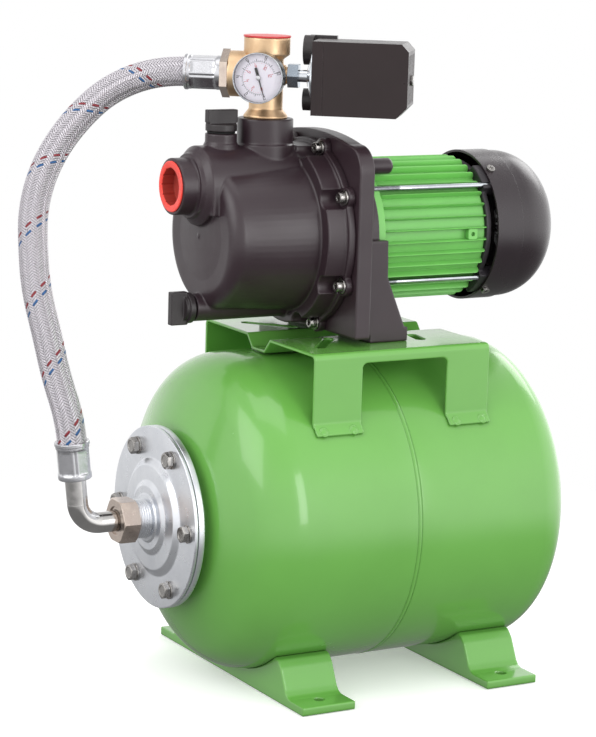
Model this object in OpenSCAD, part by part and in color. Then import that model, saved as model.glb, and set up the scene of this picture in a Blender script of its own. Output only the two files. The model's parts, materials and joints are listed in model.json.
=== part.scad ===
// Self-priming jet pump set: finned motor, plastic pump casing and brass fittings,
// carried by a saddle bracket on a horizontal bladder tank with two pressed feet.
// Millimetres. Z is up and the ground is z = 0. X runs along the tank and motor axis
// toward the fan. The machine is symmetric about y = 0 apart from its fittings and
// the saddle bracket, which sits a little toward -y.

/* [Tank] */
// Outside diameter of the tank shell
tank_d = 270; // [250:1:290]
// Gap between the ground and the lowest line of the shell
tank_gap = 10.2; // [6:0.1:20]
// Wall of the drawn steel shells
shell_t = 1.5; // [1:0.1:3]
// Straight length on the flange side, from the seam
flange_side = 104.7; // [90:0.1:130]
// Straight length on the motor side, from the seam
motor_side = 123.8; // [110:0.1:140]
// Knuckle radius of the flange side head
knuckle_a = 45.4; // [30:0.1:60]
// Knuckle radius of the motor side head
knuckle_b = 31.5; // [25:0.1:50]

/* [Tank flange] */
// Outside diameter of the galvanised flange
flange_d = 153; // [140:1:165]
// Bolt circle of the six flange bolts
flange_pcd = 127; // [115:1:135]
// Outer face of the flange plate, from the seam
flange_x = 178.7; // [176:0.1:185]

/* [Feet] */
// Width of each pressed foot along the tank
foot_w = 49.7; // [35:0.1:60]
// Reach of a foot to each side
foot_reach = 130.6; // [110:0.1:150]
// Centre of the foot nearer the flange
foot_a = -79.3; // [-90:0.1:-60]
// Centre of the foot nearer the motor end
foot_b = 100.6; // [70:0.1:115]
// Ground bolt hole in each foot pad
foot_hole = 9; // [6:0.5:12]

/* [Saddle bracket] */
// Top face of the saddle bracket
deck_z = 293.9; // [290:0.1:300]
// Sheet thickness of the bracket
deck_t = 2.5; // [2:0.1:4]
// Half width of the bracket
deck_y = 96.5; // [80:0.5:105]

/* [Pump and motor] */
// Height of the motor and pump axis
motor_z = 380; // [375:0.5:390]
// Radius at the tips of the motor fins
fin_r = 61; // [58:0.5:61]
// Number of fins round the motor
fin_count = 36; // [24:4:44]
// Radius of the fan cover
cover_r = 65; // [64:0.5:68]
// Height of the suction port axis
suction_z = 421.75; // [415:0.25:425]
// Outside radius of the two threaded ports
port_r = 23.4; // [21:0.1:25]

/* [Fittings] */
// Height of the cross in the brass fitting
cross_z = 512; // [508:0.5:516]
// Turn of the brass fitting about its vertical axis
cross_turn = 38; // [0:1:60]
// Outside radius of the braided hose
hose_r = 12.2; // [10:0.1:14]

/* [Hidden] */
$fn = 64;

tank_r = tank_d / 2;
tank_z = tank_r + tank_gap;
// The tank seam is x = 0 in every piece; this puts the row origin in the middle
// of the four ground bolt holes.
frame_x = -(foot_a + foot_b) / 2;
// clearance between parts that lie against the tank
fit = 0.05;
// upright axes of the discharge port and the priming boss
cross_x = -82.4;
priming_x = -123.5;

green = "#62ac3c";
motor_green = "#4fa83a";
black = "#2b2829";
rubber = "#1c1c1c";
steel = "#b9bec4";
zinc = "#c9ccd0";
brass = "#c9a36a";

// ---- helpers ---------------------------------------------------------------
// moves seam coordinates into the row frame
module in_frame(z = 0, x = 0) translate([frame_x + x, 0, z]) children();

// Steps stacked along an axis, each [from, to, radius] or
// [from, to, radius at from, radius at to].
module turned_z(steps) for (step = steps)
  translate([0, 0, step[0]])
    cylinder(h = step[1] - step[0], r1 = step[2], r2 = step[len(step) - 1]);
module turned_x(steps) rotate([0, 90, 0]) turned_z(steps);

module rod_x(from, to, radius) turned_x([[from, to, radius]]);
module tube_x(from, to, outer, inner) difference() {
  rod_x(from, to, outer);
  rod_x(from - 1, to + 1, inner);
}
module hex_x(from, to, flats)
  translate([from, 0, 0]) rotate([0, 90, 0]) rotate([0, 0, 90])
    cylinder(h = to - from, r = flats / sqrt(3), $fn = 6);

// revolves a profile of [radius, x] about the X axis
module spin_x() rotate([0, 90, 0]) rotate_extrude() children();

// copies turned about the X axis, moved out by the radius
module around_x(angles, radius = 0) for (angle = angles)
  rotate([angle, 0, 0]) translate([0, 0, radius]) children();
// four angles, the given one to each side of the top and of the bottom
function four_way(angle) = [for (s = [-1, 1], v = [0, 180]) s * angle + v];

// closes a half outline, listed outward from the middle, with its mirror image
function mirrored(half) =
  concat([for (i = [len(half) - 1:-1:0]) [-half[i][0], half[i][1]]], half);

module wedge(radius, start, end) {
  middle = (start + end) / 2;
  intersection() {
    circle(radius);
    polygon(concat([[0, 0]], [for (a = [start, middle, end]) 2 * radius * [cos(a), sin(a)]]));
  }
}

// half outline of a dished head: straight part from start to tangent, knuckle, crown
module head(radius, knuckle, crown, start, tangent) {
  knuckle_at = radius - knuckle;
  drop = sqrt(pow(crown - knuckle, 2) - pow(knuckle_at, 2));
  angle = atan2(drop, knuckle_at);
  translate([0, start]) square([radius, tangent - start]);
  translate([knuckle_at, tangent]) wedge(knuckle, 0, angle);
  intersection() {
    translate([0, tangent - drop]) wedge(crown, angle, 90);
    translate([0, tangent]) square([2 * radius, 2 * crown]);
  }
  // strip over the joint between the two arcs
  translate([knuckle_at, tangent]) rotate(angle)
    translate([-4, -1]) square([knuckle + 3.6, 2]);
}

// ---- pressure tank ---------------------------------------------------------
crown_a = 1.7 * tank_r;
crown_b = crown_a + 60;
seam_half = 1.9;
neck_r = 62;
valve_hole_r = 4.05;
// positions from the outer face of the flange, toward the tank
plate_t = 3;
ring_face = plate_t + 0.7; // the lip of the bladder lies between plate and ring
ring_back = ring_face + 5.5;
flange_hole_r = 4.05;
bladder_t = 1.5;
// [radius, from, to] of the two overlapping bladder bodies
bladder_bodies = [[102, -137, 78], [112, -129, 70]];

module at_flange() in_frame(tank_z, -flange_x) children();
module at_flange_bolts() around_x([90:60:390], flange_pcd / 2) children();

module shell(knuckle, crown, tangent) difference() {
  head(tank_r, knuckle, crown, seam_half, tangent);
  head(tank_r - shell_t, knuckle - shell_t, crown - shell_t, seam_half - 1, tangent);
}
module tank_shell_flange_side() color(green) in_frame(tank_z) difference() {
  rotate([0, -90, 0]) rotate_extrude() shell(knuckle_a, crown_a, flange_side);
  rod_x(-200, -150, neck_r + fit);
}
module tank_shell_motor_side() color(green) in_frame(tank_z) difference() {
  spin_x() shell(knuckle_b, crown_b, motor_side);
  rod_x(150, 200, valve_hole_r);
}
module weld_bead() color(green) in_frame(tank_z)
  tube_x(-seam_half, seam_half, tank_r + 0.35, tank_r - 2);

module tank_flange_ring() color(zinc) at_flange() difference() {
  turned_x([[ring_face, ring_back, flange_d / 2], [ring_back, 16, neck_r]]);
  rod_x(0, 20, 55);
  at_flange_bolts() rod_x(0, 9.8, flange_hole_r);
}

module bladder() color("#3a3a3a") in_frame(tank_z) spin_x() {
  neck = 52;
  difference() {
    union() {
      // lip and neck
      translate([0, plate_t - flange_x]) square([58, 0.7]);
      translate([0, 3.2 - flange_x]) square([neck, 45]);
      for (b = bladder_bodies) translate([0, b[1]]) square([b[0], b[2] - b[1]]);
    }
    union() {
      translate([-1, -5 - flange_x]) square([neck - bladder_t + 1, 60]);
      for (b = bladder_bodies)
        translate([-1, b[1] + bladder_t])
          square([b[0] - bladder_t + 1, b[2] - b[1] - 2 * bladder_t]);
    }
  }
}

// domed plate with a stepped spout
module flange_plate() color(zinc) at_flange() difference() {
  turned_x([
    [0, plate_t, flange_d / 2], [-4.5, 0, 43, 47], [-7, -4, 27, 30.5],
    [-20, 0, 16.5], [-27.8, -19, 13.1], [-8.5, 0, 19.5]
  ]);
  turned_x([[-29, 4, 10], [-1.5, 3.2, 40, 44]]);
  at_flange_bolts() rod_x(-1, 4, flange_hole_r);
}
module flange_bolts() color(zinc) at_flange() at_flange_bolts() difference() {
  union() {
    hex_x(-7, -1.6, 12.5);
    turned_x([[-1.6, -0.02, 7.6], [-1.6, 9, 3.95]]);
  }
  rod_x(-8, -6, 3.6);
}

module air_valve() color(brass) in_frame(tank_z)
  turned_x([[160, 184, 3.95], [163, 173, 7.5], [177.5, 179.5, 6.5]]);
module air_valve_cap() color(black) in_frame(tank_z) difference() {
  rod_x(179.6, 188, 6.2);
  rod_x(179, 185.5, 4.02);
}

// ---- feet ------------------------------------------------------------------
foot_t = 3;
foot_bolt_y = 113;
// [y, z] of the upper edge, from the middle outward
foot_profile = [[79, 38], [86, 35.5], [91, 30], [95, 22], [100, 12], [103.5, 8.5], [108, 7],
  [foot_reach, 7]];

module foot_outline(inset) polygon(mirrored(concat(
  [for (p = foot_profile) p - [inset, inset]],
  [[foot_reach - inset, -1]]
)));
module foot(x) difference() {
  union() {
    difference() {
      translate([x - foot_w / 2, 0, 0]) rotate([90, 0, 90]) linear_extrude(foot_w) difference() {
        foot_outline(0);
        translate([0, tank_z]) circle(tank_r + fit);
        translate([-200, -10]) square([400, 10]);
      }
      // hollow, open to the ground
      translate([x - foot_w / 2 + foot_t, 0, 0]) rotate([90, 0, 90])
        linear_extrude(foot_w - 2 * foot_t) difference() {
          foot_outline(foot_t);
          translate([0, tank_z]) circle(tank_r + foot_t + fit);
        }
    }
    // collars that carry the bolt load to the floor
    for (s = [-1, 1]) translate([x, s * foot_bolt_y, 0]) cylinder(h = 5.5, r = 9);
  }
  for (s = [-1, 1]) translate([x, s * foot_bolt_y, -1]) cylinder(h = 20, r = foot_hole / 2);
}
module left_foot() color(green) in_frame() foot(foot_a);
module right_foot() color(green) in_frame() foot(foot_b);

// ---- saddle bracket --------------------------------------------------------
// the deck is welded on a little toward the gauge side
deck_centre_y = -6.5;
deck_start = -87;
deck_length = 168.5;
// notch along the middle of the deck
notch_floor = 9.6;
notch_top = 19.3;
notch_depth = 10.6;
slot_w = 8;
// openings through both side walls
window_start = -41.8;
window_end = 40.3;
window_top = 284.5;
window_corner = 5;
// bolts that hold the motor bracket on the deck
mount_x = -8;
mount_y = 52;
mount_hole_r = 4.4;

module at_mounts(z) for (s = [-1, 1]) translate([mount_x, s * mount_y, z]) children();

module deck_outline(inset, bottom) polygon(mirrored([
  [notch_floor + inset * 0.45, deck_z - notch_depth - inset],
  [notch_top + inset * 0.45, deck_z - inset],
  [deck_y - 4 - inset * 0.4, deck_z - inset],
  [deck_y - 1.2 - inset, deck_z - 1.2 - inset * 0.8],
  [deck_y - inset, deck_z - 4 - inset * 0.4],
  [deck_y - inset, bottom]
]));

// round-ended slot between two [x, y] points, and its mirror image
module slots(start, end) for (side = [0, 1]) {
  run = end - start;
  length = norm(run);
  mirror([0, side, 0]) translate([start[0], start[1], deck_z - 10])
    rotate([0, 0, atan2(run[1], run[0])]) {
      translate([0, -slot_w / 2, 0]) cube([length, slot_w, 20]);
      for (x = [0, length]) translate([x, 0, 0]) cylinder(h = 20, r = slot_w / 2);
    }
}
module windows() {
  bottom = 200;
  width = window_end - window_start;
  for (y = [-150, 50]) translate([window_start, y, 0]) {
    translate([0, 0, bottom]) cube([width, 100, window_top - window_corner - bottom]);
    translate([window_corner, 0, bottom])
      cube([width - 2 * window_corner, 100, window_top - bottom]);
    for (x = [window_corner, width - window_corner])
      translate([x, 0, window_top - window_corner]) rotate([-90, 0, 0])
        cylinder(h = 100, r = window_corner);
  }
}
module saddle_bracket() color(green) in_frame() difference() {
  union() {
    difference() {
      translate([deck_start, deck_centre_y, 0]) rotate([90, 0, 90])
        linear_extrude(deck_length) difference() {
          deck_outline(0, 230);
          deck_outline(deck_t, 229);
        }
      windows();
    }
    // weld flanges that lie on the tank, the gauge side lower down
    translate([0, 0, tank_z]) around_x([50, -42.8], tank_r + 0.06)
      for (x = [[-86.3, -42.5], [41, 80.8]])
        translate([x[0], -7, 0]) cube([x[1] - x[0], 14, 2.5]);
  }
  translate([0, 0, tank_z]) {
    rod_x(-120, 120, tank_r + fit);
    // shallow round pockets in the weld flanges
    around_x([51.4, -44.2], tank_r + 1.9) for (x = [-79, -51, 48.5, 74])
      translate([x, 0, 0]) cylinder(h = 5, r = 3.2);
  }
  translate([0, deck_centre_y, 0]) {
    slots([-64.2, -64.7], [-37, -31]);
    slots([36.3, -58.9], [39.6, -40.2]);
  }
  at_mounts(deck_z - 10) cylinder(h = 20, r = mount_hole_r);
}
// shank and washer, with a hexagon above and one below the deck
module foot_bolts() color(zinc) in_frame() {
  hex_r = 7.5;
  at_mounts(284.4) cylinder(h = 25, r = 3.95);
  at_mounts(306.03) cylinder(h = 1.6, r = 8);
  at_mounts(307.6) cylinder(h = 5.3, r = hex_r, $fn = 6);
  at_mounts(deck_z - deck_t - 6.5) cylinder(h = 6.45, r = hex_r, $fn = 6);
}

// ---- pump casing -----------------------------------------------------------
casing_face = -38.1; // open end, against the motor bracket
casing_t = 5;
barrel_r = 65;
barrel_back = -62; // the straight part of the barrel starts here
nose_r = 61;
nose_x = -128.5;
nose_round = 12;
chamber_r = 33;
chamber_start = -146;
chamber_floor = 400;
port_bore_r = 16.6;
nozzle_x = -134.5;
drain_z = 320.5;
drain_boss_r = 11.5;
screw_circle = 78;
screw_angles = [for (s = [-1, 1], a = [20, 62, 118, 160]) s * a];

module at_screws() around_x(screw_angles, screw_circle) children();

// barrel tapering to a rounded, slightly domed nose
module barrel(inset) spin_x() {
  flat_r = nose_r - nose_round - inset;
  polygon([[0, nose_x], [nose_r - inset, nose_x], [barrel_r - inset, barrel_back],
    [barrel_r - inset, -40], [0, -40]]);
  translate([flat_r, nose_x]) wedge(nose_round, -90, 0);
  translate([0, nose_x - nose_round]) square([flat_r, nose_round + 0.1]);
  intersection() {
    translate([0, 260]) circle(402.2);
    translate([0, -144]) square([flat_r, 4]);
  }
}
module casing_outside() {
  translate([0, 0, motor_z]) {
    barrel(0);
    // ring behind the barrel, scalloped for the screws
    difference() {
      turned_x([[barrel_back, casing_face, 76], [-44.6, casing_face, 79.5]]);
      at_screws() rod_x(-63, -44, 9);
    }
    at_screws() rod_x(-44, casing_face, 8.2);
    // small pip on the nose
    rod_x(-142.8, -141, 1.6);
  }
  // upper chamber, its stepped end and the suction port
  translate([0, 0, suction_z]) turned_x([
    [chamber_start, barrel_back, chamber_r], [-150, chamber_start, 29, chamber_r],
    [-154, -150, 26.5, 28], [-168, -140, port_r]
  ]);
  translate([chamber_start, -chamber_r, chamber_floor])
    cube([barrel_back - chamber_start, 2 * chamber_r, suction_z - chamber_floor]);
  // discharge port
  translate([cross_x, 0, 0]) turned_z([[430, 476.5, port_r], [430, 455.5, port_r + 1.5]]);
  // priming boss
  translate([priming_x, 0, 0]) turned_z([[430, 464.5, 13.2], [430, 456, 14.2]]);
  // drain boss along the lowest line
  translate([0, 0, drain_z]) {
    rod_x(-147, barrel_back, drain_boss_r);
    translate([-134, -drain_boss_r, 0]) cube([72, 2 * drain_boss_r, 20]);
  }
}
module casing_inside() {
  translate([0, 0, motor_z]) {
    // main chamber, short of the wall that carries the nozzle
    difference() {
      barrel(casing_t);
      rod_x(-150, nozzle_x, 62);
    }
    turned_x([[-60, -38, 60], [-46, -37, 66.1]]);
    at_screws() rod_x(-45, -37, 2.6);
  }
  translate([0, 0, suction_z])
    turned_x([[-141, -66, 28], [-169, -150, port_bore_r], [-151, -140, 14]]);
  translate([cross_x, 0, 0]) turned_z([[440, 480, port_bore_r]]);
  translate([priming_x, 0, 0]) turned_z([[440, 470, 8.6]]);
  translate([0, 0, drain_z]) rod_x(-148, -130, 6.6);
  translate([0, 0, 322]) rod_x(-131, -100, 5);
}
module pump_casing() color(black) in_frame() difference() {
  casing_outside();
  casing_inside();
}
module casing_screws() color(zinc) in_frame(motor_z) at_screws() difference() {
  turned_x([[-50.6, -45.62, 4.7], [-46, -27, 2.48]]);
  hex_x(-51, -47.6, 4);
}
module casing_washers() color(zinc) in_frame(motor_z) at_screws()
  tube_x(-45.6, -44.02, 6.6, 2.62);
module casing_o_ring() color(rubber) in_frame(motor_z) spin_x()
  translate([63.9, -43.9]) circle(2);

// ---- motor bracket ---------------------------------------------------------
plate_start = -38;
plate_end = -24;
arch_base = 300;
shoulder_y = 61;
shoulder_z = 437;
shoulder_r = 22;
bracket_foot_w = 53;
bracket_foot_y = 43.5;
gusset_t = 7;
// [x, z] outline of a gusset
gusset = [[-30, 300.8], [-15.5, 300.8], [-15.5, 294.4], [20.2, 294.4], [19.6, 301],
  [-0.2, 348.3], [-0.8, 379.5], [-30, 379.5]];
rod_circle = 60.2;
rod_angles = four_way(49);
rod_hole_r = 2.43;
front_bearing_r = 17.5;

module at_rods() around_x(rod_angles, rod_circle) children();

// plate outline with a shallow arched top and round shoulders
module arch() {
  half_w = shoulder_y + shoulder_r;
  intersection() {
    translate([0, 214.7]) circle(251.8);
    translate([-shoulder_y, arch_base]) square([2 * shoulder_y, 200]);
  }
  translate([-half_w, arch_base]) square([2 * half_w, shoulder_z - arch_base]);
  for (s = [-1, 1]) translate([s * shoulder_y, shoulder_z]) circle(shoulder_r);
}
module bracket_foot(side) {
  edge = side * bracket_foot_y - bracket_foot_w / 2;
  translate([-16, edge, deck_z + 0.05]) cube([36.5, bracket_foot_w, 12]);
  translate([-30, edge, 300.4]) cube([20, bracket_foot_w, 5.2]);
  translate([0, side * 66.5 - gusset_t / 2, 0]) rotate([90, 0, 0]) mirror([0, 0, 1])
    linear_extrude(gusset_t) polygon(gusset);
}
module motor_bracket() color(black) in_frame() difference() {
  union() {
    translate([plate_start, 0, 0]) rotate([90, 0, 90])
      linear_extrude(plate_end - plate_start) arch();
    for (side = [-1, 1]) {
      bracket_foot(side);
      // stepped peg near each shoulder
      translate([0, side * 40, 438]) turned_x([[plate_end, 14, 6.8], [14, 15.5, 5.8]]);
    }
    translate([0, 0, motor_z]) {
      // register that carries the motor housing
      rod_x(-30, -5.05, 62);
      // spigot that squeezes the casing O-ring
      rod_x(-41.85, -37, 66);
      at_rods() rod_x(plate_end, -6, 4.8);
    }
  }
  translate([0, 0, motor_z]) {
    // recess, seal seat, shaft hole and bearing seat
    turned_x([[-43, -37.9, 58], [-39, -27, 14.05], [-39, -4, 9],
      [-21, -4, front_bearing_r + 0.05]]);
    // annular pocket round the bearing seat
    tube_x(-18, -4, 55.4, 22);
    at_screws() rod_x(-39, -26, 2.52);
    at_rods() rod_x(-18, -4, rod_hole_r);
  }
  at_mounts(deck_z - 1) cylinder(h = 22, r = mount_hole_r);
}

// ---- inside the casing -----------------------------------------------------
venturi_r = 13;
impeller_r = 48;
impeller_eye_r = 15;

module diffuser() color("#4a4a50") in_frame(motor_z) difference() {
  union() {
    turned_x([[-74, -71, 57], [-86, -72, 17]]);
    tube_x(-74, -50, 57, 54);
  }
  rod_x(-90, -70, venturi_r + 0.05);
  // notches in the rim
  around_x([0:60:300], 50) translate([-60, -6, 0]) cube([6, 12, 12]);
}
module jet_nozzle() color(brass) in_frame(motor_z) difference() {
  turned_x([[nozzle_x, -130, 16], [-130, -118, 12, 5.5]]);
  turned_x([[nozzle_x, -117.9, 9, 3.2]]);
}
module venturi_tube() color("#5a5a60") in_frame(motor_z) difference() {
  turned_x([[-116, -73, venturi_r], [-116, -112, 18]]);
  turned_x([[-116.1, -104, 8, 4.5], [-104.1, -72.9, 4.5, 9]]);
}
module impeller() color(brass) in_frame(motor_z) difference() {
  union() {
    // back disc and hub
    turned_x([[-57.5, -55, impeller_r], [-68, -55, 9]]);
    // front disc and eye ring
    tube_x(-68.5, -66.8, impeller_r, impeller_eye_r);
    tube_x(-70.6, -66.8, 17.5, impeller_eye_r);
    // slanted vanes
    around_x([0:60:300], 14) translate([-67, 0, 0]) rotate([28, 0, 0])
      translate([0, -1.2, 0]) cube([11, 2.4, 30]);
  }
  rod_x(-69, -54, 6.02);
}
module seal_rotating() color("#30302f") in_frame(motor_z) tube_x(-54.9, -38.2, 10.5, 7.02);
module seal_seat() color("#d8d6d0") in_frame(motor_z) tube_x(-38.1, -30, 14, 7.3);

// ---- caps and plugs --------------------------------------------------------
// the grips of the priming cap and the drain plug
grip_t = 7;
priming_head_r = 13;

module priming_cap() color(black) in_frame(0, priming_x) {
  turned_z([[451, 466, 8.5], [466.4, 471.2, priming_head_r], [465.9, 466.9, 8.5]]);
  difference() {
    turned_z([[471, 484, priming_head_r]]);
    for (s = [-1, 1]) translate([-20, s * 12.5 - 9, 472.2]) cube([40, 18, 20]);
  }
  translate([-13.6, -grip_t / 2, 473.4]) cube([27.2, grip_t, 10.6]);
}
module priming_o_ring() color(rubber) in_frame(465.45, priming_x)
  rotate_extrude() translate([10.8, 0]) circle(0.9);

module drain_plug() color(black) in_frame(drain_z) {
  turned_x([[-147, -134, 6.5], [-153.6, -148.8, 12.8], [-149, -147, 6.5], [-156, -153.5, 10]]);
  translate([-167.5, -grip_t / 2, -13.8]) cube([15, grip_t, 27.6]);
}
module drain_o_ring() color(rubber) in_frame(drain_z) spin_x()
  translate([8.5, -147.9]) circle(0.85);

module suction_plug() color("#f05a50") in_frame(suction_z) difference() {
  turned_x([[-169.4, -168.02, 21], [-169.4, -156, 16.5]]);
  rod_x(-171, -158, 15.2);
  // small flutes round the mouth
  around_x([0:30:330], 15) rod_x(-171, -160, 0.9);
}
module outlet_plug() color("#e8605a") in_frame(0, cross_x) difference() {
  turned_z([[543.02, 544.42, 19.6], [532, 543.5, 15.1]]);
  turned_z([[533.5, 542.5, 13.4], [531, 535, 13.4]]);
}

// ---- motor -----------------------------------------------------------------
housing_start = -5;
housing_bore_r = 52;
housing_collar_r = 60.3;
fin_root_r = 50;
fin_t = 1.8;
shaft_front_r = 7;
shaft_mid_r = 8.5;
shaft_end_r = 6;
rear_bearing_r = 16;
bearing_ring_t = 2.6;
shield_face = 104.05;
shield_hub_r = 21;
cover_screw_x = 117;
cover_screw_angles = four_way(37);
grille_r = 36;
grille_pitch = 7;
grille_slot_w = 3.6;

module motor_housing() color(motor_green) in_frame(motor_z) difference() {
  union() {
    turned_x([[housing_start, 104, 54.5], [housing_start, 3, housing_collar_r]]);
    // fins, with their ends chamfered toward the fan
    intersection() {
      around_x([for (i = [0:fin_count - 1]) (i + 0.5) * 360 / fin_count], fin_root_r)
        translate([2, -fin_t / 2, 0]) cube([101.9, fin_t, fin_r - fin_root_r]);
      turned_x([[0, 99, fin_r], [98.9, 104.5, fin_r, fin_r - 4.5]]);
    }
    // drilled block on the -y side
    translate([84, -housing_collar_r, -4.8]) cube([9, 8, 9.6]);
  }
  rod_x(-6, 105, housing_bore_r);
  around_x(rod_angles, rod_circle + 0.8) rod_x(-6, 110, 3.6);
  translate([88.5, -58, 0]) rotate([90, 0, 0]) cylinder(h = 5, r = 1.8);
}
module stator_core() color("#8d8f92") in_frame(motor_z)
  tube_x(26, 88, housing_bore_r - 0.05, 30.4);
module stator_winding() color("#b5672f") in_frame(motor_z)
  for (x = [[12, 25.95], [88.05, 100]]) tube_x(x[0], x[1], 47, 33);
module motor_shaft() color(steel) in_frame(motor_z) turned_x([
  [-73, -68.2, 5.98], [-68.2, -54.95, 6], [-54.95, 20, shaft_front_r],
  [20, 94, shaft_mid_r], [94, 134, shaft_end_r], [-9.4, -6, 9.5]
]);
module rotor() color("#77797c") in_frame(motor_z) difference() {
  union() {
    rod_x(28, 86, 30);
    tube_x(22, 92, 27, 20);
  }
  rod_x(20.5, 93, shaft_mid_r);
}

// outer ring, inner ring and a narrower web between them
module bearing(from, to, outer, inner) {
  tube_x(from, to, outer, outer - bearing_ring_t);
  tube_x(from, to, inner + bearing_ring_t, inner);
  tube_x(from + 1.5, to - 1.5, outer - bearing_ring_t, inner + bearing_ring_t);
}
module front_bearing() color(zinc) in_frame(motor_z)
  bearing(-20.5, -9.5, front_bearing_r, shaft_front_r);
module rear_bearing() color(zinc) in_frame(motor_z)
  bearing(105, 115, rear_bearing_r, shaft_end_r);

module rear_shield() color("#9a9da0") in_frame(motor_z) difference() {
  union() {
    turned_x([[shield_face, 109, 57.6], [100, 104.1, 51.9], [shield_face, 118, shield_hub_r]]);
    // four lugs
    intersection() {
      around_x(four_way(41), 40) translate([shield_face, -13, 0]) cube([16.5, 26, 30]);
      rod_x(104, 125, 62.95);
    }
  }
  tube_x(109, 130, 53, shield_hub_r + 0.01);
  turned_x([[104, 119, rear_bearing_r + 0.05], [99, 119, 8], [98, 103, 49]]);
  at_rods() rod_x(100, 125, rod_hole_r);
}
module tie_rods() color(zinc) in_frame(motor_z) at_rods() rod_x(-17.5, 119, 2.4);
module cooling_fan() color(black) in_frame(motor_z) difference() {
  union() {
    turned_x([[122, 133, 10], [122, 124, 40]]);
    around_x([0:45:315], 9) translate([122, -1, 0]) cube([18, 2, 41]);
  }
  rod_x(121, 141, shaft_end_r);
}

// half length of grille slot i, counted from the middle
function grille_half(i) = sqrt(max(pow(grille_r, 2) - pow(grille_pitch * i, 2), 40));
module fan_cover() color(black) in_frame(motor_z) difference() {
  union() {
    rod_x(111.3, 137, cover_r);
    spin_x() head(cover_r - 1.2, 40, 190, 130, 145);
  }
  spin_x() head(cover_r - 2, 36, 188, 100, 140);
  for (i = [-5:5])
    translate([165, -grille_half(i), grille_pitch * i - grille_slot_w / 2])
      cube([40, 2 * grille_half(i), grille_slot_w]);
  around_x(cover_screw_angles, 50) translate([cover_screw_x, 0, 0]) cylinder(h = 20, r = 2.2);
}
module fan_cover_screws() color(zinc) in_frame(motor_z)
  around_x(cover_screw_angles) translate([cover_screw_x, 0, 0]) difference() {
    turned_z([[cover_r + 0.1, cover_r + 2.1, 3.7], [63, 66, 2]]);
    // cross recess
    translate([-2.2, -0.5, cover_r + 1.1]) cube([4.4, 1, 3]);
    translate([-0.5, -2.2, cover_r + 1.1]) cube([1, 4.4, 3]);
  }

// ---- fittings on top -------------------------------------------------------
// local frame of the brass fitting: -Y gauge, -X hose, +X switch
switch_shift = 4.3;
branch_r = 8.5;
branch_bore_r = 5.04;
fitting_bore_r = 12;
window_r = 19.25; // dial and lens of the gauge

module at_cross(x = 0) in_frame(cross_z, cross_x)
  rotate([0, 0, -cross_turn]) translate([x, 0, 0]) children();
module at_switch() at_cross(switch_shift) children();
module turned_hose(steps) rotate([0, -90, 0]) turned_z(steps);
module turned_gauge(steps) rotate([90, 0, 0]) turned_z(steps);

module five_way_fitting() color(brass) at_cross() difference() {
  union() {
    turned_z([
      [-36, 15, 14], [-33.5, -28, 18.3, 14.02], [-35.4, -33.45, 18.3],
      [-54, -35, 16.54], [14, 17, 15, 19.1], [16.98, 31, 19.1]
    ]);
    sphere(r = 15.9);
    turned_x([[16, 23.8, 7], [0, 16.2, branch_r]]);
    turned_hose([[0, 30.2, 18.9]]);
    turned_gauge([[0, 19, branch_r]]);
  }
  turned_z([[-55, 25, fitting_bore_r], [18, 32, 15.15]]);
  turned_hose([[0, 31.4, fitting_bore_r], [17, 31.8, 15.05]]);
  turned_gauge([[0, 20, branch_bore_r]]);
  rod_x(0, 25, branch_bore_r);
}

module gauge_case() color("#1f1f21") at_cross() difference() {
  turned_gauge([[23.5, 45, 20.7], [19.05, 23.6, 7], [12.5, 19.1, 5]]);
  turned_gauge([[26, 46, 19.3], [12, 24, 1.6]]);
}
module gauge_dial() color("white") at_cross() difference() {
  turned_gauge([[38, 38.8, window_r]]);
  turned_gauge([[37, 40, 1.3]]);
}
module gauge_needle() color("#1a1a1a") at_cross() {
  turned_gauge([[37.2, 41.6, 1.2], [39.6, 41.8, 2.2]]);
  // thin pointer and wider tail
  translate([0, -40, 0]) rotate([0, 163, 0]) {
    translate([-0.45, -0.6, 0]) cube([0.9, 0.6, 16]);
    translate([-1.1, -0.6, -8.5]) cube([2.2, 0.6, 9]);
  }
}
module gauge_lens() color([0.9, 0.95, 1, 0.3]) at_cross()
  turned_gauge([[43.2, 44.6, window_r]]);

// ---- pressure switch -------------------------------------------------------
switch_w = 46;
switch_h = 60.6;
gland_y = 18;
gland_z = 20.5;

// box that starts at x and is centred on the switch axis
module box_x(x, size) translate([x, -size[1] / 2, -size[2] / 2]) cube(size);

module switch_nut() color(zinc) at_cross() difference() {
  hex_x(18.6, 27.4, 19);
  turned_x([[16, 24, 7.05], [15, 31, 5.05]]);
}
module switch_flange() color(zinc) at_switch() difference() {
  turned_x([[30.75, 36, 9], [31, 35, 9, 23.2], [34.98, 36.5, 23.2], [13.7, 31, 4.98]]);
  turned_x([[12, 34, 2.5], [33.4, 36.6, 8, 20]]);
}
module switch_base() color(black) at_switch() difference() {
  union() {
    box_x(36.6, [9.2, switch_w, switch_h]);
    box_x(45.7, [4, 41, 55.6]);
  }
  rod_x(36, 42, 12);
  for (s = [-1, 1]) translate([0, gland_y, s * gland_z]) rod_x(36, 51, 4.05);
}
module switch_cover() color(black) at_switch() difference() {
  intersection() {
    box_x(45.9, [70, switch_w, switch_h]);
    // chamfered far end
    translate([45, 30, 0]) rotate([90, 0, 0]) linear_extrude(60) polygon([
      [0, -switch_h / 2], [62, -switch_h / 2], [70.9, -21],
      [70.9, 24], [65, switch_h / 2], [0, switch_h / 2]
    ]);
  }
  box_x(45, [60, 41.2, 55.8]);
  // shallow grooves in the end face
  for (y = [-18:7.2:18]) translate([114.9, y - 1.2, -19]) cube([2, 2.4, 40]);
  rod_x(104, 117, 2.6);
}
module cover_screw() color(zinc) at_switch() difference() {
  turned_x([[96.05, 116.2, 2.5], [115.98, 117.8, 4.4]]);
  translate([117, -0.6, -5]) cube([2, 1.2, 10]);
}
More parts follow.
